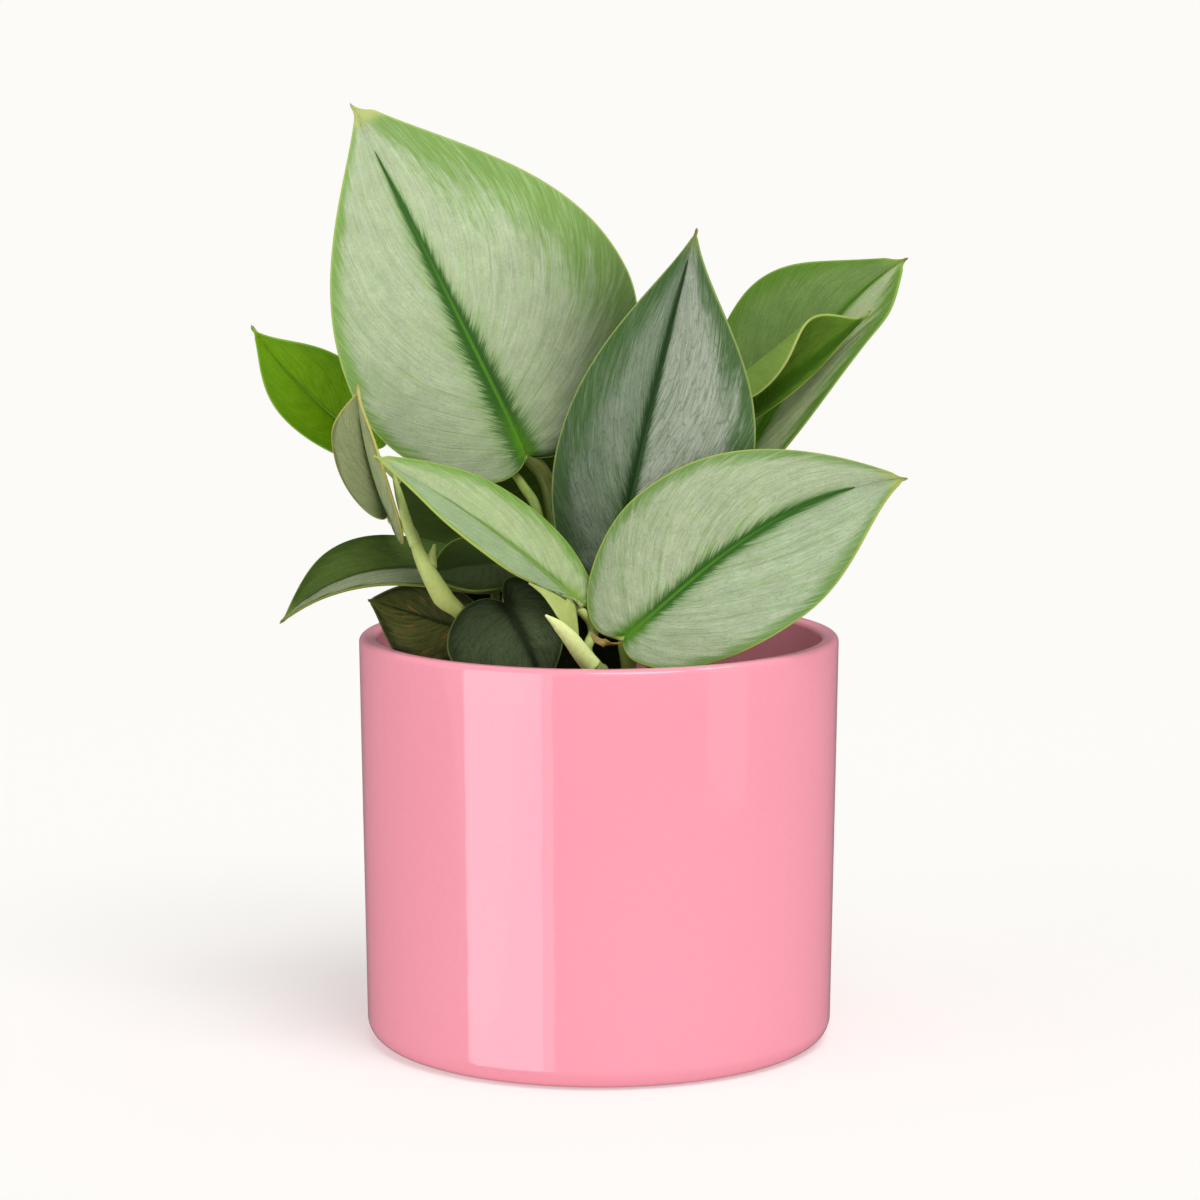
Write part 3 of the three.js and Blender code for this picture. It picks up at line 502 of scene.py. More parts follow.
def leaf_material(name, number):
    """The upper face of one leaf."""
    look = {**COMMON_LOOK, **LEAF_LOOKS[name]}
    reach, end, start, fade = look["feather"]
    values = {
        "Feather End": end, "Feather Start": start, "Feather Fade": fade, "Rib Width": look["rib_mm"],
        "Streaks": look["streaks"], "Crackle": look["crackle"], "Scars": look["scars"],
        "Tip Start": look["tip_start"], "Seed": 3.7 * number}
    for label in PATTERN_COLOURS[2:]:
        values[label] = srgb(*look[label.lower()])
    for side in (0, 1):
        values[f"Silver {side}"] = srgb(*look["silver"][side])
        values[f"Feather {side}"] = reach * look["halves"][side]
        values[f"Margin {side}"] = look["margin"][side]
        values[f"Shade {side}"] = look["shade"][side]
    p = Paint(name + "_upper")
    pattern = p.add("ShaderNodeGroup", values, node_tree=LEAF_PATTERN)
    p.bump(pattern["Height"], 0.00018, 0.9)
    return p.cover(pattern["Color"], pattern["Roughness"], look["gloss"])


def underside_material(name, colour, rib_colour):
    """The paler, duller lower face, with raised ribs."""
    p = Paint(name)
    turn, across, _ = p.attribute("leaf_place")
    wide, _, _ = p.attribute("leaf_flat")
    reach = p.size(across)
    fine = p.noise(p.vector(p.times(turn, 120.0), p.times(across, 4.0)), 1.0, 3.0, 0.6)
    veins = p.size(p.minus(p.maths("FRACT", p.times(turn, SIDE_VEINS)), 0.5))
    veins = p.times(p.fall(veins, 0.0, 0.10), p.fall(reach, 0.4, 0.95))
    body = p.scaled(srgb(*colour)[:3], p.line(fine, 0.35, 0.82))
    rib = p.fall(p.size(wide), 0.5, 1.6)
    body = p.mix(p.maths("MULTIPLY_ADD", veins, 0.3, rib, clamp=True), body, srgb(*rib_colour))
    body = p.mix(p.rise(reach, 0.965, 0.99), body, srgb(*UNDERSIDE_EDGE))
    p.bump(p.line(veins, 0.8, fine), 0.00015, 0.7)
    return p.cover(body, p.line(fine, 0.15, 0.42), UNDERSIDE_GLOSS)


def stem_material(name, low, high, ring, streak=0.35):
    """Smooth green stalk: colour eases from its foot to its top, with streaks along it."""
    p = Paint(name)
    around, length, share = p.attribute("stalk_place")
    streaks = p.noise(p.vector(p.times(around, 9.0), p.times(length, 0.12)), 1.0, 3.0, 0.6)
    specks = p.noise(p.place(), 900.0)
    body = p.mix(share, srgb(*low), srgb(*high))
    body = p.mix(p.times(p.rise(streaks, 0.45, 0.75), streak), body, srgb(*ring))
    body = p.scaled(body, p.line(specks, 0.3, 0.85))
    p.bump(p.line(specks, 0.4, streaks), 0.0001, 0.6)
    return p.cover(body, p.line(streaks, 0.2, 0.34), STALK_GLOSS)


def glaze_material():
    """Pink gloss glaze over a slightly uneven body."""
    p = Paint("pink_glaze")
    specks = p.noise(p.place(), 700.0)
    body = p.mix(p.noise(p.place(), 9.0), srgb(*GLAZE_DARK), srgb(*GLAZE_LIGHT))
    body = p.scaled(body, p.line(specks, 0.05, 0.975))
    p.bump(p.noise(p.place(), 55.0), 0.0004, 0.25)
    p.sockets["IOR"].default_value = 1.46
    return p.cover(body, p.line(specks, 0.03, 0.045))


def bare_clay_material():
    """Unglazed clay of the foot."""
    p = Paint("bare_clay")
    grains = p.noise(p.place(), 1500.0, 4.0, 0.7)
    p.bump(grains, 0.0002)
    return p.cover(p.mix(grains, srgb(206, 188, 170), srgb(232, 218, 202)), 0.9)


def earth_material(name, dark, light, scale):
    p = Paint(name)
    lumps = p.noise(p.place(), scale, 5.0, 0.7)
    p.bump(lumps, 0.0006)
    return p.cover(p.mix(p.rise(lumps, 0.3, 0.7), srgb(*dark), srgb(*light)), 0.95, 0.2)


def add_object(name, data):
    thing = bpy.data.objects.new(name, data)
    bpy.context.scene.collection.objects.link(thing)
    return thing


# Mesh building
class Skin:
    """Gathers vertices, faces, materials and attributes into one piece."""

    def __init__(self):
        self.points, self.faces, self.slots, self.attributes = [], [], [], {}
        self.count = 0

    def add(self, points, faces, slot, **attributes):
        points = np.asarray(points, float).reshape(-1, 3)
        self.points.append(points)
        self.add_faces(np.asarray(faces, int), slot, self.count)
        for name in ("leaf_place", "leaf_flat", "stalk_place"):
            given = attributes.get(name)
            block = np.zeros((len(points), 3)) if given is None else np.asarray(given, float).reshape(-1, 3)
            self.attributes.setdefault(name, []).append(block)
        self.count += len(points)

    def add_faces(self, faces, slot, start=0):
        """More faces over points that are already in, counted from a start."""
        self.faces.append(faces + start)
        self.slots.append(np.full(len(faces), slot))

    def build(self, name, materials, weld=2e-6):
        points = np.concatenate(self.points) * MM
        faces = [tuple(int(i) for i in face) for block in self.faces for face in block]
        mesh = bpy.data.meshes.new(name)
        mesh.from_pydata([tuple(p) for p in points], [], faces)
        mesh.polygons.foreach_set("material_index", np.concatenate(self.slots).astype(np.int32))
        for label, blocks in self.attributes.items():
            layer = mesh.attributes.new(label, "FLOAT_VECTOR", "POINT")
            layer.data.foreach_set("vector", np.concatenate(blocks).astype(np.float32).ravel())
        for material in materials:
            mesh.materials.append(material)
        work = bmesh.new()
        work.from_mesh(mesh)
        bmesh.ops.remove_doubles(work, verts=work.verts, dist=weld)
        bmesh.ops.dissolve_degenerate(work, edges=work.edges, dist=weld * 0.5)
        bmesh.ops.recalc_face_normals(work, faces=work.faces)
        work.to_mesh(mesh)
        work.free()
        mesh.polygons.foreach_set("use_smooth", np.ones(len(mesh.polygons), bool))
        return add_object(name, mesh)


def ring_quads(rings, sides):
    """Faces between neighbouring rings, one row of faces for each pair."""
    index = np.arange(rings * sides).reshape(rings, sides)
    turned = np.roll(index, -1, axis=1)
    return index, turned, np.stack([index[:-1], turned[:-1], turned[1:], index[1:]], -1)


def finish_piece(piece, nodes):
    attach(piece, "root")
    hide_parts(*nodes)
    return piece


def cubic(points, s):
    s = np.asarray(s, float)[:, None]
    p = [np.asarray(q, float) for q in points]
    return (1 - s) ** 3 * p[0] + 3 * s * (1 - s) ** 2 * p[1] + 3 * s * s * (1 - s) * p[2] + s ** 3 * p[3]


def outline(leaf, side, t):
    """Half of the flat outline, in half widths across and blade lengths along."""
    lobe, widest = leaf["lobe"][side], leaf["widest"][side]
    full, drip_width = leaf["full"][side], leaf["drip_width"][side]
    neck = 1 - leaf["drip"]
    lobe_part = [(0, 0), (0.3, -2.6 * lobe), (1, widest - 0.62 * (widest + lobe)), (1, widest)]
    side_part = [(1, widest), (1, widest + 0.42 * (1 - widest)),
                 (drip_width + full, neck - 0.16), (drip_width, neck)]
    tip_part = [(drip_width, neck), (drip_width * 0.4, 1 - leaf["drip"] * 0.75),
                (drip_width * 0.12, 1 - leaf["drip"] * 0.4), (0, 1)]
    out = np.zeros((len(t), 2))
    low, high = t <= T_WIDEST, t > T_DRIP
    middle = ~low & ~high
    out[low] = cubic(lobe_part, t[low] / T_WIDEST)
    out[middle] = cubic(side_part, (t[middle] - T_WIDEST) / (T_DRIP - T_WIDEST))
    out[high] = cubic(tip_part, (t[high] - T_DRIP) / (1 - T_DRIP))
    return out


def flat_half(leaf, side, t, s):
    """The flat half blade: s runs from the midrib along curved veins to the edge."""
    edge = outline(leaf, side, t)
    start = t ** RIB_POWER
    s = s[None, :]
    bend_x = (0.5 * edge[:, 0])[:, None]
    bend_y = (start + 0.3 * (edge[:, 1] - start))[:, None]
    x = 2 * s * (1 - s) * bend_x + s * s * edge[:, 0][:, None]
    y = (1 - s) ** 2 * start[:, None] + 2 * s * (1 - s) * bend_y + s * s * edge[:, 1][:, None]
    return x, y


def bulge(distance, height, width):
    """A smooth bump around distance 0."""
    return height * np.exp(-(distance / width) ** 2)


def unit(vector):
    vector = np.asarray(vector, float)
    return vector / np.linalg.norm(vector)


def blade_axes(leaf):
    base = np.array(leaf["base"], float)
    axis = np.array(leaf["tip"], float) - base
    length = np.linalg.norm(axis)
    axis /= length
    normal = np.array(leaf["face"], float)
    normal = unit(normal - axis * normal.dot(axis))
    return base, axis, length, normal, np.cross(axis, normal)


def place_half(leaf, side, x, y, lift=0.0):
    """Folds, curls and arches the flat half blade into space."""
    base, axis, length, normal, across = blade_axes(leaf)
    along = np.clip(y, 0, 1) ** (math.log(0.5) / math.log(leaf.get("peak", 0.5)))
    bow = 4 * along * (1 - along) + np.minimum(y, 0) * 2.5
    centre = (base + axis * (y * length)[..., None] + normal * (leaf["arch"] * bow)[..., None]
              + across * (leaf["sway"] * bow)[..., None])
    fold = math.radians(leaf["fold"][side])
    bend = math.radians(leaf["curl"][side]) / leaf["width"][side]
    distance = x * leaf["width"][side]
    if abs(bend) < 1e-9:
        reach, rise = distance * math.cos(fold), distance * math.sin(fold)
    else:
        reach = (np.sin(fold + bend * distance) - math.sin(fold)) / bend
        rise = (math.cos(fold) - np.cos(fold + bend * distance)) / bend
    rise = rise + lift
    sign = -1 if side == 0 else 1
    return centre + across * (sign * reach)[..., None] + normal * rise[..., None]


def ripple(t, s, seed, amount):
    """Slow waves that grow towards the edge, and the faint quilting between side veins."""
    slow = (np.sin(2 * np.pi * (LONG_WAVES * t + 0.13 * seed)) * 0.6
            + np.sin(2 * np.pi * (SHORT_WAVES * t + 0.31 * seed + 0.3 * s)) * 0.4)
    quilt = QUILT_HEIGHT * np.sin(2 * np.pi * SIDE_VEINS * t) * np.sin(np.pi * np.clip(s * 1.1, 0, 1))
    return amount * slow * s ** 2.2 + quilt


def grid_normals(points):
    normals = np.cross(np.gradient(points, axis=1), np.gradient(points, axis=0))
    return normals / np.maximum(np.linalg.norm(normals, axis=-1, keepdims=True), 1e-9)


def blade_grid(leaf, seed, rows, columns):
    t = np.linspace(0, 1, rows + 1) ** 1.15
    t = np.unique(np.concatenate([t, np.linspace(TIP_ROWS[0], 1, TIP_ROWS[1])]))
    s = np.linspace(0, 1, columns + 1)
    s = np.unique(np.concatenate([s ** 0.9, EDGE_COLUMNS]))
    halves, places, flats = [], [], []
    amount = min(MOST_WAVE, WAVE_SHARE * leaf["width"][0])
    for side in (0, 1):
        x, y = flat_half(leaf, side, t, s)
        lift = ripple(t[:, None], s[None, :], seed + 5 * side, amount)
        halves.append(place_half(leaf, side, x, y, lift))
        sign = -1 if side == 0 else 1
        length = blade_axes(leaf)[2]
        places.append(np.stack(np.broadcast_arrays(t[:, None], sign * s, y), -1))
        vein_x, vein_y = x[:, -1] * leaf["width"][side], (y[:, -1] - t ** RIB_POWER) * length
        from_edge = (1 - s)[None, :] * np.hypot(vein_x, vein_y)[:, None]
        flats.append(np.stack([sign * x * leaf["width"][side], y * length, from_edge], -1))
    join = lambda pair: np.concatenate([pair[0][:, :0:-1], pair[1]], axis=1)
    return join(halves), join(places), join(flats)


def add_blade(skin, leaf, seed, rows, columns):
    """Both faces of a blade and its thin rounded rim, as one closed skin."""
    middle, place, flat = blade_grid(leaf, seed, rows, columns)
    facing = blade_axes(leaf)[3]
    normals = grid_normals(middle)
    normals *= np.sign((normals * facing).sum(-1, keepdims=True).mean())
    normals[0] = unit(normals[2].mean(0))
    normals[-1] = unit(normals[-3].mean(0))
    s_all = np.abs(place[..., 1])
    from_rib = np.abs(flat[..., 0])
    ribby = np.clip(1 - place[..., 2], 0, 1) ** 0.5
    rim = np.clip((1 - s_all) / 0.03, 0, 1)
    rim[0] = rim[-1] = 0
    half = EDGE_HALF + BODY_HALF * np.sqrt(rim)
    groove = bulge(from_rib, *GROOVE) * ribby
    ridge = bulge(from_rib, *LOWER_RIB) * ribby
    between_veins = (place[..., 0] * SIDE_VEINS) % 1 - 0.5
    veins = bulge(between_veins, *LOWER_VEINS) * np.clip(1 - s_all * 1.15, 0, 1)
    top = middle + normals * (half - groove * rim)[..., None]
    bottom = middle - normals * (half + (ridge + veins) * rim)[..., None]
    index = np.arange(middle[..., 0].size).reshape(middle.shape[:2])
    quads = np.stack([index[:-1, :-1], index[:-1, 1:], index[1:, 1:], index[1:, :-1]], -1).reshape(-1, 4)
    under = index.size
    points = np.concatenate([top.reshape(-1, 3), bottom.reshape(-1, 3)])
    both = dict(leaf_place=np.concatenate([place.reshape(-1, 3)] * 2),
                leaf_flat=np.concatenate([flat.reshape(-1, 3)] * 2))
    rims = []
    for column, order in ((0, 1), (-1, -1)):
        edge = index[:, column]
        strip = np.stack([edge[:-1], edge[1:], edge[1:] + under, edge[:-1] + under], -1)
        rims.append(strip[:, ::order])
    start = skin.count
    skin.add(points, quads, UPPER, **both)
    skin.add_faces(quads[:, ::-1], LOWER, under + start)
    skin.add_faces(np.concatenate(rims), UPPER, start)


def smooth_path(points, steps):
    """A centripetal Catmull-Rom curve through the points, sampled evenly by length."""
    points = [np.array(p, float) for p in points]
    first = points[0] * 2 - points[1]
    last = points[-1] * 2 - points[-2]
    knots = [first] + points + [last]
    dense = []
    for i in range(1, len(knots) - 2):
        p = knots[i - 1:i + 3]
        gaps = [max(np.linalg.norm(p[k + 1] - p[k]) ** 0.5, 1e-4) for k in range(3)]
        u = np.linspace(0, 1, 40, endpoint=False)[:, None]
        slopes = [(p[k + 1] - p[k]) / gaps[k] for k in range(3)]
        tangent_a, tangent_b = [
            (slopes[k] - (p[k + 2] - p[k]) / (gaps[k] + gaps[k + 1]) + slopes[k + 1]) * gaps[1]
            for k in range(2)]
        dense.append((2 * u ** 3 - 3 * u ** 2 + 1) * p[1] + (u ** 3 - 2 * u ** 2 + u) * tangent_a
                     + (-2 * u ** 3 + 3 * u ** 2) * p[2] + (u ** 3 - u ** 2) * tangent_b)
    dense = np.concatenate(dense + [points[-1][None]])
    length = np.concatenate([[0], np.cumsum(np.linalg.norm(np.diff(dense, axis=0), axis=1))])
    wanted = np.linspace(0, length[-1], steps + 1)
    return np.stack([np.interp(wanted, length, dense[:, k]) for k in range(3)], 1), wanted


def ease_sizes(sizes, share):
    return np.interp(share, np.linspace(0, 1, len(sizes)), sizes)


def add_tube(skin, path, across, deep=None, slot=0, steps=48, sides=20, nodes=(), seed=0, rough=0.0,
             side=LEVEL_SIDE):
    """A round-ended stalk along a path, as deep as across unless given, with rings at its nodes."""
    deep = deep or across
    centres, travelled = smooth_path(path, steps)
    share = travelled / travelled[-1]
    along = np.gradient(centres, axis=0)
    along /= np.linalg.norm(along, axis=1, keepdims=True)
    side = np.array(side) - along * (along @ np.array(side))[:, None]
    side /= np.linalg.norm(side, axis=1, keepdims=True)
    front = np.cross(along, side)
    swell = np.ones(len(share))
    for node in nodes:
        from_node = travelled - node * travelled[-1]
        swell += bulge(from_node, *NODE_RING)
        swell -= bulge(from_node - NECK_RISE, *NODE_NECK)
    angle = np.linspace(0, 2 * np.pi, sides, endpoint=False)
    wobble = 1 + rough * (np.sin(3 * angle[None, :] + seed + 0.35 * travelled[:, None])
                          + 0.6 * np.sin(5 * angle[None, :] - 0.5 * travelled[:, None]))
    wide = (ease_sizes(across, share) * swell)[:, None] * wobble
    thick = (ease_sizes(deep, share) * swell)[:, None] * wobble
    ring = (centres[:, None] + side[:, None] * (np.cos(angle)[None] * wide)[..., None]
            + front[:, None] * (np.sin(angle)[None] * thick)[..., None])
    ends = [centres[k] + along[k] * way * END_ROUND * min(across[k], deep[k])
            for k, way in ((0, -1), (-1, 1))]
    count = len(ring)
    index, turned, quads = ring_quads(count, sides)
    tips = ((0, turned[0], index[0]), (1, index[-1], turned[-1]))
    caps = [np.stack([np.full(sides, count * sides + tip), *edge], 1) for tip, *edge in tips]
    points = np.concatenate([ring.reshape(-1, 3), np.array(ends)])
    place = np.stack(np.broadcast_arrays(np.sin(angle), travelled[:, None], share[:, None]), -1)
    place = np.concatenate([place.reshape(-1, 3), [[0, 0, 0], [0, travelled[-1], 1]]])
    start = skin.count
    skin.add(points, quads.reshape(-1, 4), slot, stalk_place=place)
    for cap in caps:
        skin.add_faces(cap, slot, start)


def petiole_path(leaf):
    """The stalk starts a little way up under the midrib, as the leaf's own rib does."""
    _, _, _, normal, _ = blade_axes(leaf)
    def under(q, drop):
        point = place_half(leaf, 0, np.array([[0.0]]), np.array([[q]]))[0, 0]
        return tuple(point - normal * drop)
    return [under(0.16, 0.9), under(0.07, 1.4), under(0, PETIOLE_DROP)] + leaf["petiole"]


# Flat sheaths and sheath tips that belong to a leaf's petiole.
SHEATHS = {
    "leaf_left_front": [dict(
        path=[(-17.7, -43.2, 127.8), (-14.0, -41.7, 125.2), (-10.9, -40.8, 122.3),
              (-8.5, -40.2, 119.8), (-5.9, -37.2, 117.8)],
        across=(0.3, 1.3, 3.1, 4.9, 5.8), deep=(0.3, 0.4, 0.45, 0.5, 0.5), side=(-0.24, -0.89, -0.39))],
    "leaf_left_folded": [dict(
        path=[(-43, -38.3, 131.4), (-42.5, -36.6, 134), (-41.9, -35.2, 136.6)],
        across=(1.9, 1.1, 0.35)), dict(
        path=[(-46.9, -36.8, 136.6), (-49, -33.6, 142), (-51.2, -30.2, 149), (-53, -27.4, 155)],
        across=(1.4, 1.4, 1.1, 0.3), deep=(1.2, 1.1, 0.9, 0.3))],
}
SHOOT = dict(
    path=[(-1.7, -46.6, 106.8), (-4.6, -47.7, 110.6), (-7.4, -48.8, 114.6), (-10.4, -49.9, 118),
          (-13.4, -51, 120.6)],
    across=(2.5, 2.35, 2.1, 1.5, 0.3))
DRIED_SHEATH = dict(
    path=[(-1.9, -41.2, 114.4), (-0.6, -42.2, 113), (1.4, -42.6, 112.2), (3.7, -41.1, 111.8),
          (5.5, -38.6, 111.6)],
    across=(0.4, 1.0, 1.2, 1.1, 0.4), deep=(0.25, 0.35, 0.35, 0.35, 0.25))

STALK_GREEN = stem_material("stalk_green", (150, 168, 84), (128, 156, 62), (104, 132, 48))
STALK_PALE = stem_material("stalk_pale", (182, 196, 116), (180, 194, 108), (156, 174, 86), 0.25)
STALK_OLIVE = stem_material("stalk_olive", (88, 86, 32), (98, 116, 38), (58, 54, 20), 0.6)
SHOOT_SKIN = stem_material("shoot_skin", (216, 236, 150), (238, 248, 172), (198, 218, 120), 0.3)
STALK_DARK = stem_material("stalk_dark", (96, 110, 50), (84, 104, 44), (66, 82, 32))
CANE = stem_material("cane", (104, 96, 60), (122, 138, 70), (88, 76, 46), 0.5)
DRY = stem_material("dry_sheath", (148, 128, 58), (176, 140, 70), (84, 52, 22), 0.75)
UNDERSIDE_PALE = underside_material("underside_pale", (150, 170, 118), (176, 190, 130))
UNDERSIDE_DARK = underside_material("underside_dark", (92, 108, 62), (118, 134, 76))
UNDERSIDE_SHADED = underside_material("underside_shaded", (60, 82, 22), (92, 118, 36))
UNDERSIDE_GREEN = underside_material("underside_green", (120, 150, 66), (156, 182, 94))
# Each leaf's material slot, and the skins of its lower face and its petiole
LEAF_SKINS = {
    "leaf_large": ("silver_leaf", UNDERSIDE_PALE, STALK_OLIVE),
    "leaf_middle": ("grey_leaf", UNDERSIDE_PALE, STALK_DARK),
    "leaf_front": ("silver_leaf", UNDERSIDE_PALE, STALK_GREEN),
    "leaf_left_front": ("silver_leaf", UNDERSIDE_PALE, STALK_PALE),
    "leaf_right_back": ("green_leaf", UNDERSIDE_GREEN, STALK_GREEN),
    "leaf_furled": ("green_leaf", UNDERSIDE_GREEN, STALK_GREEN),
    "leaf_left_back": ("green_leaf", UNDERSIDE_GREEN, STALK_GREEN),
    "leaf_left_folded": ("grey_leaf", UNDERSIDE_PALE, STALK_PALE),
    "leaf_left_low": ("dark_leaf", UNDERSIDE_DARK, STALK_GREEN),
    "leaf_behind": ("dark_leaf", UNDERSIDE_SHADED, STALK_GREEN),
    "leaf_small_dark": ("dark_leaf", UNDERSIDE_DARK, STALK_DARK),
    "leaf_pot_left": ("dark_leaf", UNDERSIDE_DARK, STALK_DARK),
    "leaf_pot_front": ("dark_leaf", UNDERSIDE_DARK, STALK_DARK),
    "leaf_inner": ("dark_leaf", UNDERSIDE_SHADED, STALK_DARK),
    "leaf_deep": ("dark_leaf", UNDERSIDE_SHADED, STALK_DARK),
}


def build_leaves():
    for number, (name, leaf) in enumerate(LEAVES.items()):
        skin = Skin()
        rows, columns = FINE_GRID if max(leaf["width"]) > LARGE_HALF_WIDTH else SMALL_GRID
        add_blade(skin, leaf, number, rows, columns)
        sizes = (0.5, 1.1, 0.75 * leaf["radius"][0], *leaf["radius"])
        add_tube(skin, petiole_path(leaf), sizes, slot=STALK, steps=54, sides=18, seed=number,
                 rough=0.012)
        for sheath in SHEATHS.get(name, []):
            add_tube(skin, **sheath, slot=STALK, steps=36)
        slot_name, underside, stalk = LEAF_SKINS[name]
        materials = [leaf_material(name, number), underside, stalk]
        finish_piece(skin.build("fine_" + name, materials), [name])


def stalk_piece(name, slot_name, material, **tube):
    skin = Skin()
    add_tube(skin, **tube)
    finish_piece(skin.build("fine_" + name, [material]), [name])


def build_stems():
    for number, (name, stem) in enumerate(STEMS.items()):
        stalk_piece(name, "green_stem", CANE, **stem, steps=110, sides=24, seed=number, rough=0.02)
    stalk_piece("new_shoot", "green_stem", SHOOT_SKIN, **SHOOT, steps=40, sides=24, rough=0.01)
    stalk_piece("dried_sheath", "dried_sheath", DRY, **DRIED_SHEATH, steps=40, sides=16, rough=0.08)


def inner_radius(z):
    return POT_BASE_RADIUS + (POT_TOP_RADIUS - POT_BASE_RADIUS) * z / POT_HEIGHT - POT_WALL


def arc(radius_at, z_at, radius, start, end, steps):
    angles = np.radians(np.linspace(start, end, steps + 1))
    return [(radius_at + radius * math.cos(a), z_at + radius * math.sin(a)) for a in angles]


def turned_piece(name, profile, slots, materials, segments=192):
    """A solid of revolution. The profile starts and ends on the axis."""
    angle = np.linspace(0, 2 * np.pi, segments, endpoint=False)
    radius, height = np.array(profile).T[:, :, None]
    points = np.stack(np.broadcast_arrays(radius * np.cos(angle), radius * np.sin(angle), height), -1)
    skin = Skin()
    _, _, quads = ring_quads(len(profile), segments)
    skin.add(points, quads[0], slots[0])
    for row in range(1, len(profile) - 1):
        skin.add_faces(quads[row], slots[row])
    return skin.build(name, materials)


def build_pot():
    outer = arc(POT_BASE_RADIUS - FOOT_ROUND, FOOT_ROUND, FOOT_ROUND, -90, 0, 14)
    side = [(POT_BASE_RADIUS + (POT_TOP_RADIUS - POT_BASE_RADIUS) * (z - FOOT_ROUND)
             / (POT_HEIGHT - LIP_ROUND - FOOT_ROUND), z) for z in np.linspace(20, 96, 9)]
    lip = (arc(POT_TOP_RADIUS - LIP_ROUND, POT_HEIGHT - LIP_ROUND, LIP_ROUND, 0, 90, 10)
           + arc(POT_TOP_RADIUS - POT_WALL + LIP_ROUND, POT_HEIGHT - LIP_ROUND, LIP_ROUND, 90, 180, 10))
    inner = [(inner_radius(z), z) for z in np.linspace(96, POT_FLOOR + 5, 9)]
    floor = [(inner_radius(POT_FLOOR + 1.5) - 1.5, POT_FLOOR + 1.5), (inner_radius(POT_FLOOR) - 5, POT_FLOOR),
             (30, POT_FLOOR), (0, POT_FLOOR)]
    foot = [(0, 0), (30, 0), (50, 0)]
    profile = foot + outer + side + lip + inner + floor
    slots = [1] * (len(foot) + 1) + [0] * (len(profile) - len(foot) - 2)
    pot = turned_piece("glazed_pot_body", profile, slots, [glaze_material(), bare_clay_material()])
    finish_piece(pot, ["pot"])


def soil_height(x, y):
    """Uneven top of the soil, in millimetres."""
    radius = math.hypot(x, y)
    dome = SOIL_TOP - SOIL_EDGE_DROP * (radius / inner_radius(SOIL_TOP)) ** 2
    lumps = 0.55 * math.sin(x * 0.31 + 1.3) * math.cos(y * 0.27 - 0.4) + 0.35 * math.sin(x * 0.83 - y * 0.71)
    return dome + lumps - 0.6


def build_soil():
    """A bumpy bed, with loose bits of bark and perlite strewn on it by Geometry Nodes."""
    rings, segments = 64, 180
    edge = inner_radius(SOIL_TOP) - GAP
    profile = [(r, None) for r in np.linspace(0, edge, rings)]
    low = [(inner_radius(SOIL_TOP - 6) - GAP, SOIL_TOP - 6),
           (inner_radius(POT_FLOOR + 5) - GAP, POT_FLOOR + 5.5),
           (inner_radius(POT_FLOOR) - 5.4, POT_FLOOR + GAP), (0, POT_FLOOR + GAP)]
    angle = np.linspace(0, 2 * np.pi, segments, endpoint=False)
    points = []
    for radius, z in profile + low:
        for a in angle:
            x, y = radius * math.cos(a), radius * math.sin(a)
            points.append((x, y, soil_height(x, y) if z is None else z))
    _, _, quads = ring_quads(len(profile) + len(low), segments)
    skin = Skin()
    skin.add(points, quads.reshape(-1, 4), 0)
    bed = skin.build("soil_bed", [earth_material("moist_earth", (26, 18, 12), (62, 46, 34), 420.0)])
    finish_piece(bed, ["soil"])
    strew("bark_chips", bed, chip_mesh(), CHIPS_PER_M2, 11, (0.6, 1.5),
          earth_material("bark", (46, 30, 18), (104, 74, 48), 900.0))
    strew("perlite_grains", bed, grain_mesh(), GRAINS_PER_M2, 23, (0.5, 1.3),
          earth_material("perlite", (196, 192, 184), (238, 236, 230), 1200.0))


def chip_mesh():
    """A flake of bark about 3 mm long."""
    mesh = bpy.data.meshes.new("bark_flake")
    work = bmesh.new()
    bmesh.ops.create_cube(work, size=1.0)
    for vertex, push in zip(work.verts, (0.8, 1.2, 0.9, 1.1, 1.25, 0.7, 1.0, 0.85)):
        x, y, z = vertex.co
        vertex.co = Vector((x * 3.0 * push, y * 1.3 * (2.1 - push), z * 0.6 * push)) * MM
    bmesh.ops.bevel(work, geom=list(work.edges), offset=0.15 * MM, segments=1, affect="EDGES")
    work.to_mesh(mesh)
    work.free()
    return mesh


def grain_mesh():
    """A rounded grain about 1.6 mm across."""
    mesh = bpy.data.meshes.new("perlite_grain")
    work = bmesh.new()
    bmesh.ops.create_icosphere(work, subdivisions=1, radius=0.8 * MM)
    for number, vertex in enumerate(work.verts):
        vertex.co *= 0.8 + 0.4 * ((number * 7) % 11) / 11
    work.to_mesh(mesh)
    work.free()
    return mesh


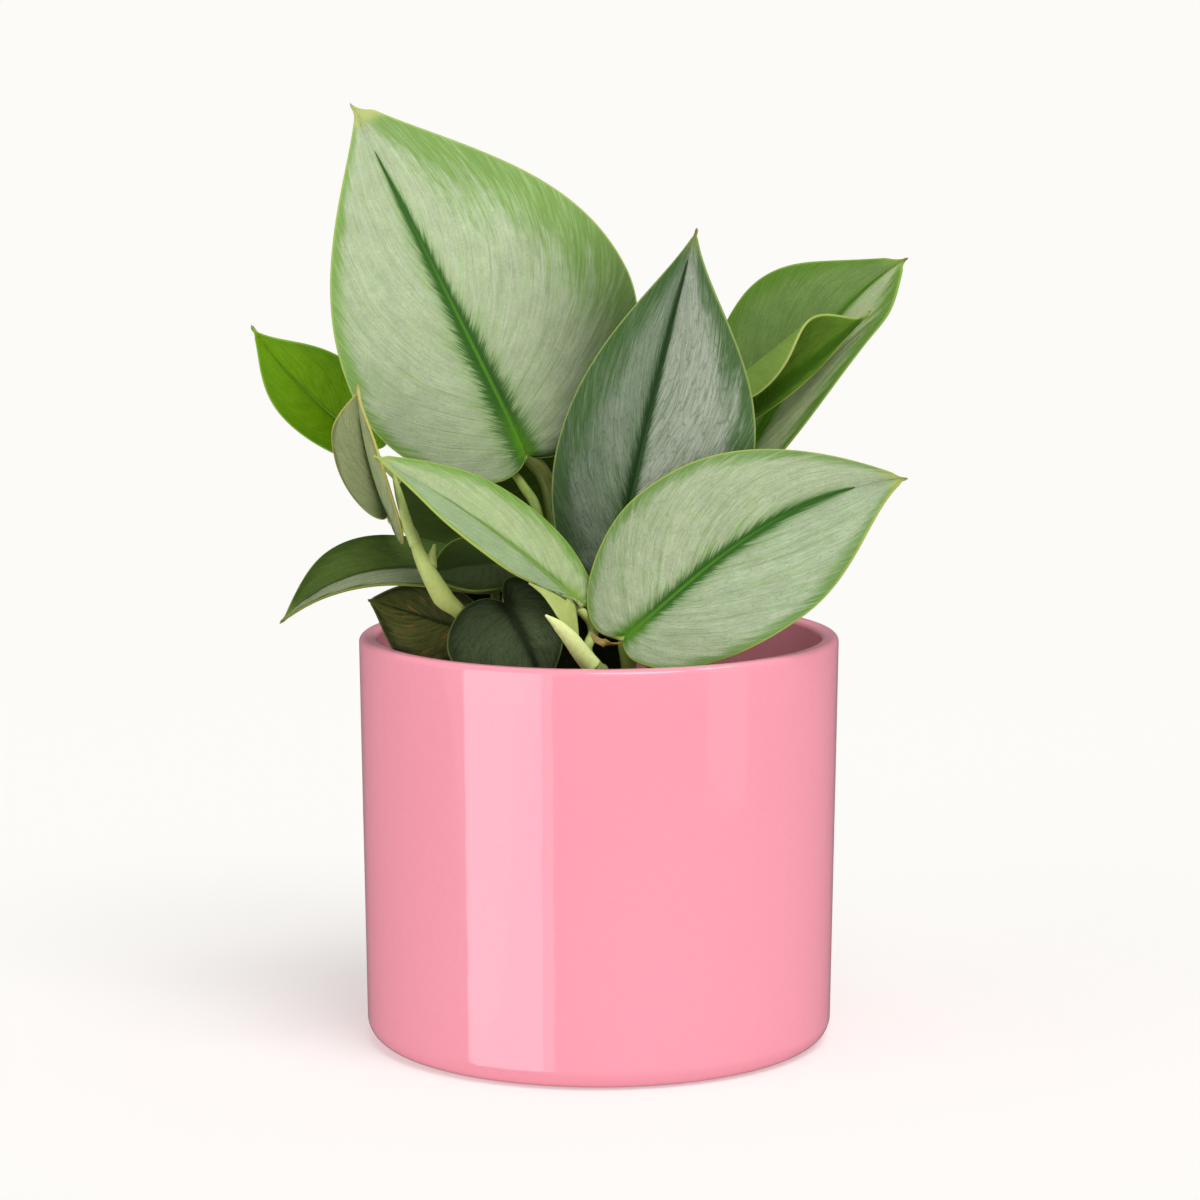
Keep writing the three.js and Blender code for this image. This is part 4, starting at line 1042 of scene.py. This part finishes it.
def strew(name, ground, bit, density, seed, sizes, material):
    """Scatters copies of a small bit over the level top faces of the ground."""
    bit_object = bpy.data.objects.new(name + "_bit", bit)
    tree = bpy.data.node_groups.new(name + "_strewing", "GeometryNodeTree")
    wanted = {"Density": density, "Smallest": sizes[0], "Largest": sizes[1]}
    tree.interface.new_socket(name="Geometry", in_out="INPUT", socket_type="NodeSocketGeometry")
    for label in wanted:
        tree.interface.new_socket(name=label, in_out="INPUT", socket_type="NodeSocketFloat")
    tree.interface.new_socket(name="Geometry", in_out="OUTPUT", socket_type="NodeSocketGeometry")
    n = Nodes(tree)
    given = n.add("NodeGroupInput")
    upwards = n.add("ShaderNodeSeparateXYZ", {0: n.add("GeometryNodeInputNormal")[0]})["Z"]
    level = n.add("FunctionNodeCompare", {"A": upwards, "B": LEVEL_NORMAL}, data_type="FLOAT",
                  operation="GREATER_THAN")["Result"]
    points = n.add("GeometryNodeDistributePointsOnFaces", {
        "Mesh": given["Geometry"], "Selection": level, "Density": given["Density"], "Seed": seed})["Points"]
    turn = n.add("FunctionNodeRandomValue", {
        0: (-BIT_TILT, -BIT_TILT, 0.0), 1: (BIT_TILT, BIT_TILT, 2 * math.pi), "Seed": seed + 1},
        data_type="FLOAT_VECTOR")[0]
    size = n.add("FunctionNodeRandomValue", {
        2: given["Smallest"], 3: given["Largest"], "Seed": seed + 2}, data_type="FLOAT")[1]
    source = n.add("GeometryNodeObjectInfo", {"Object": bit_object})["Geometry"]
    copies = n.add("GeometryNodeInstanceOnPoints", {
        "Points": points, "Instance": source, "Rotation": turn, "Scale": size})[0]
    real = n.add("GeometryNodeRealizeInstances", {0: copies})[0]
    dressed = n.add("GeometryNodeSetMaterial", {"Geometry": real, "Material": material})[0]
    n.add("NodeGroupOutput", {0: dressed})

    carrier = ground.copy()
    carrier.data = ground.data.copy()
    for key in list(carrier.keys()):
        del carrier[key]
    carrier.parent = None
    bpy.context.scene.collection.objects.link(carrier)
    modifier = carrier.modifiers.new(name, "NODES")
    modifier.node_group = tree
    for item in tree.interface.items_tree:
        if item.item_type == "SOCKET" and item.in_out == "INPUT" and item.name in wanted:
            modifier[item.identifier] = wanted[item.name]
    scene_state = bpy.context.evaluated_depsgraph_get()
    mesh = bpy.data.meshes.new_from_object(carrier.evaluated_get(scene_state))
    bpy.data.objects.remove(carrier)
    bpy.data.objects.remove(bit_object)
    finish_piece(add_object(name, mesh), ["soil"])


# Camera, floor and light
def build_camera():
    data = bpy.data.cameras.new("photo_view")
    data.sensor_width = 36.0
    data.lens = CAMERA_LENS
    data.clip_end = 100.0
    camera = add_object("photo_view", data)
    camera.location = CAMERA_PLACE
    camera.rotation_euler = (math.radians(90 - CAMERA_DOWN), 0, 0)
    bpy.context.scene.camera = camera


def add_light(name, kind, energy, place, target, **settings):
    """A light that stands at a place and shines at a target."""
    data = bpy.data.lights.new(name, kind)
    for key, value in settings.items():
        setattr(data, key, value)
    data.energy = energy
    light = add_object(name, data)
    light.location = place
    light.rotation_euler = (Vector(target) - Vector(place)).to_track_quat("-Z", "Y").to_euler()
    return light


def hide_softbox(light):
    """A softbox shows only in reflections."""
    light.visible_camera = False
    light.visible_diffuse = False


def upright_panel(name, azimuth, distance, width, low, high, radiance):
    """A tall softbox that stands at an azimuth left (-) or right (+) of the camera's side."""
    turn = math.radians(azimuth)
    middle = (low + high) / 2
    place = (distance * math.sin(turn), -distance * math.cos(turn), middle)
    energy = radiance * math.pi * width * (high - low)
    hide_softbox(add_light(name, "AREA", energy, place, (0, 0, middle), shape="RECTANGLE", size=width,
                           size_y=high - low))


def stage_sheet(name, corners, material):
    mesh = bpy.data.meshes.new(name)
    mesh.from_pydata(corners, [], [(0, 1, 2, 3)])
    mesh.materials.append(material)
    sheet = add_object(name, mesh)
    sheet.visible_glossy = False
    return sheet


def build_stage():
    """A pale floor that fades into an even backdrop, under soft studio light."""
    paper = Paint("pale_paper")
    from_middle = paper.add("ShaderNodeVectorMath", {0: paper.place()}, operation="LENGTH")["Value"]
    far = paper.rise(from_middle, *FLOOR_FADE)
    paper.cover(paper.mix(far, (*FLOOR_PAINT, 1), BLACK), 0.9, 0.0)
    corners = [(-WIDE, -WIDE, 0), (WIDE, -WIDE, 0), (WIDE, WIDE, 0), (-WIDE, WIDE, 0)]
    floor = stage_sheet("floor", corners, paper.glow(paper.line(far, 1 - FLOOR_GLOW, FLOOR_GLOW)))
    even = Paint("pale_backdrop")
    even.cover(BLACK, 0.5, 0.0)
    corners = [(-WIDE, 30, -1), (WIDE, 30, -1), (WIDE, 30, 30), (-WIDE, 30, 30)]
    wall = stage_sheet("backdrop", corners, even.glow(1.0))
    wall.visible_diffuse = False
    world = bpy.data.worlds.new("soft_room")
    world.use_nodes = True
    room = Nodes(world.node_tree)
    background = world.node_tree.nodes["Background"].inputs
    background["Color"].default_value = ROOM_COLOUR
    shine = room.add("ShaderNodeLightPath")["Is Glossy Ray"]
    room.put(background["Strength"], room.mix(shine, (ROOM_LIGHT,) * 3 + (1,), (ROOM_SHINE,) * 3 + (1,)))
    bpy.context.scene.world = world
    add_light("key", "SUN", KEY_LIGHT, (0.75, -1.4, 2.8), (0, 0, 0), angle=math.radians(35))
    add_light("fill", "SUN", FILL_LIGHT, (-1.8, -1.2, 0.5), (0, 0, 0), angle=math.radians(60))
    above = (0.64, 0.06, 1.15)
    hide_softbox(add_light("softbox_above", "AREA", 2.6, above, (0, 0, 0.1), shape="SQUARE", size=0.28))
    upright_panel("softbox_left", -46, 1.2, 0.84, -0.7, 0.75, 3.6)
    upright_panel("softbox_left_edge", -24, 1.2, 0.12, -0.7, 0.75, 1.8)
    upright_panel("softbox_right", 62, 1.3, 0.5, -0.2, 0.9, 0.8)
    bpy.context.scene.view_settings.view_transform = "Standard"


build_camera()
build_stage()
build_pot()
build_soil()
build_stems()
build_leaves()
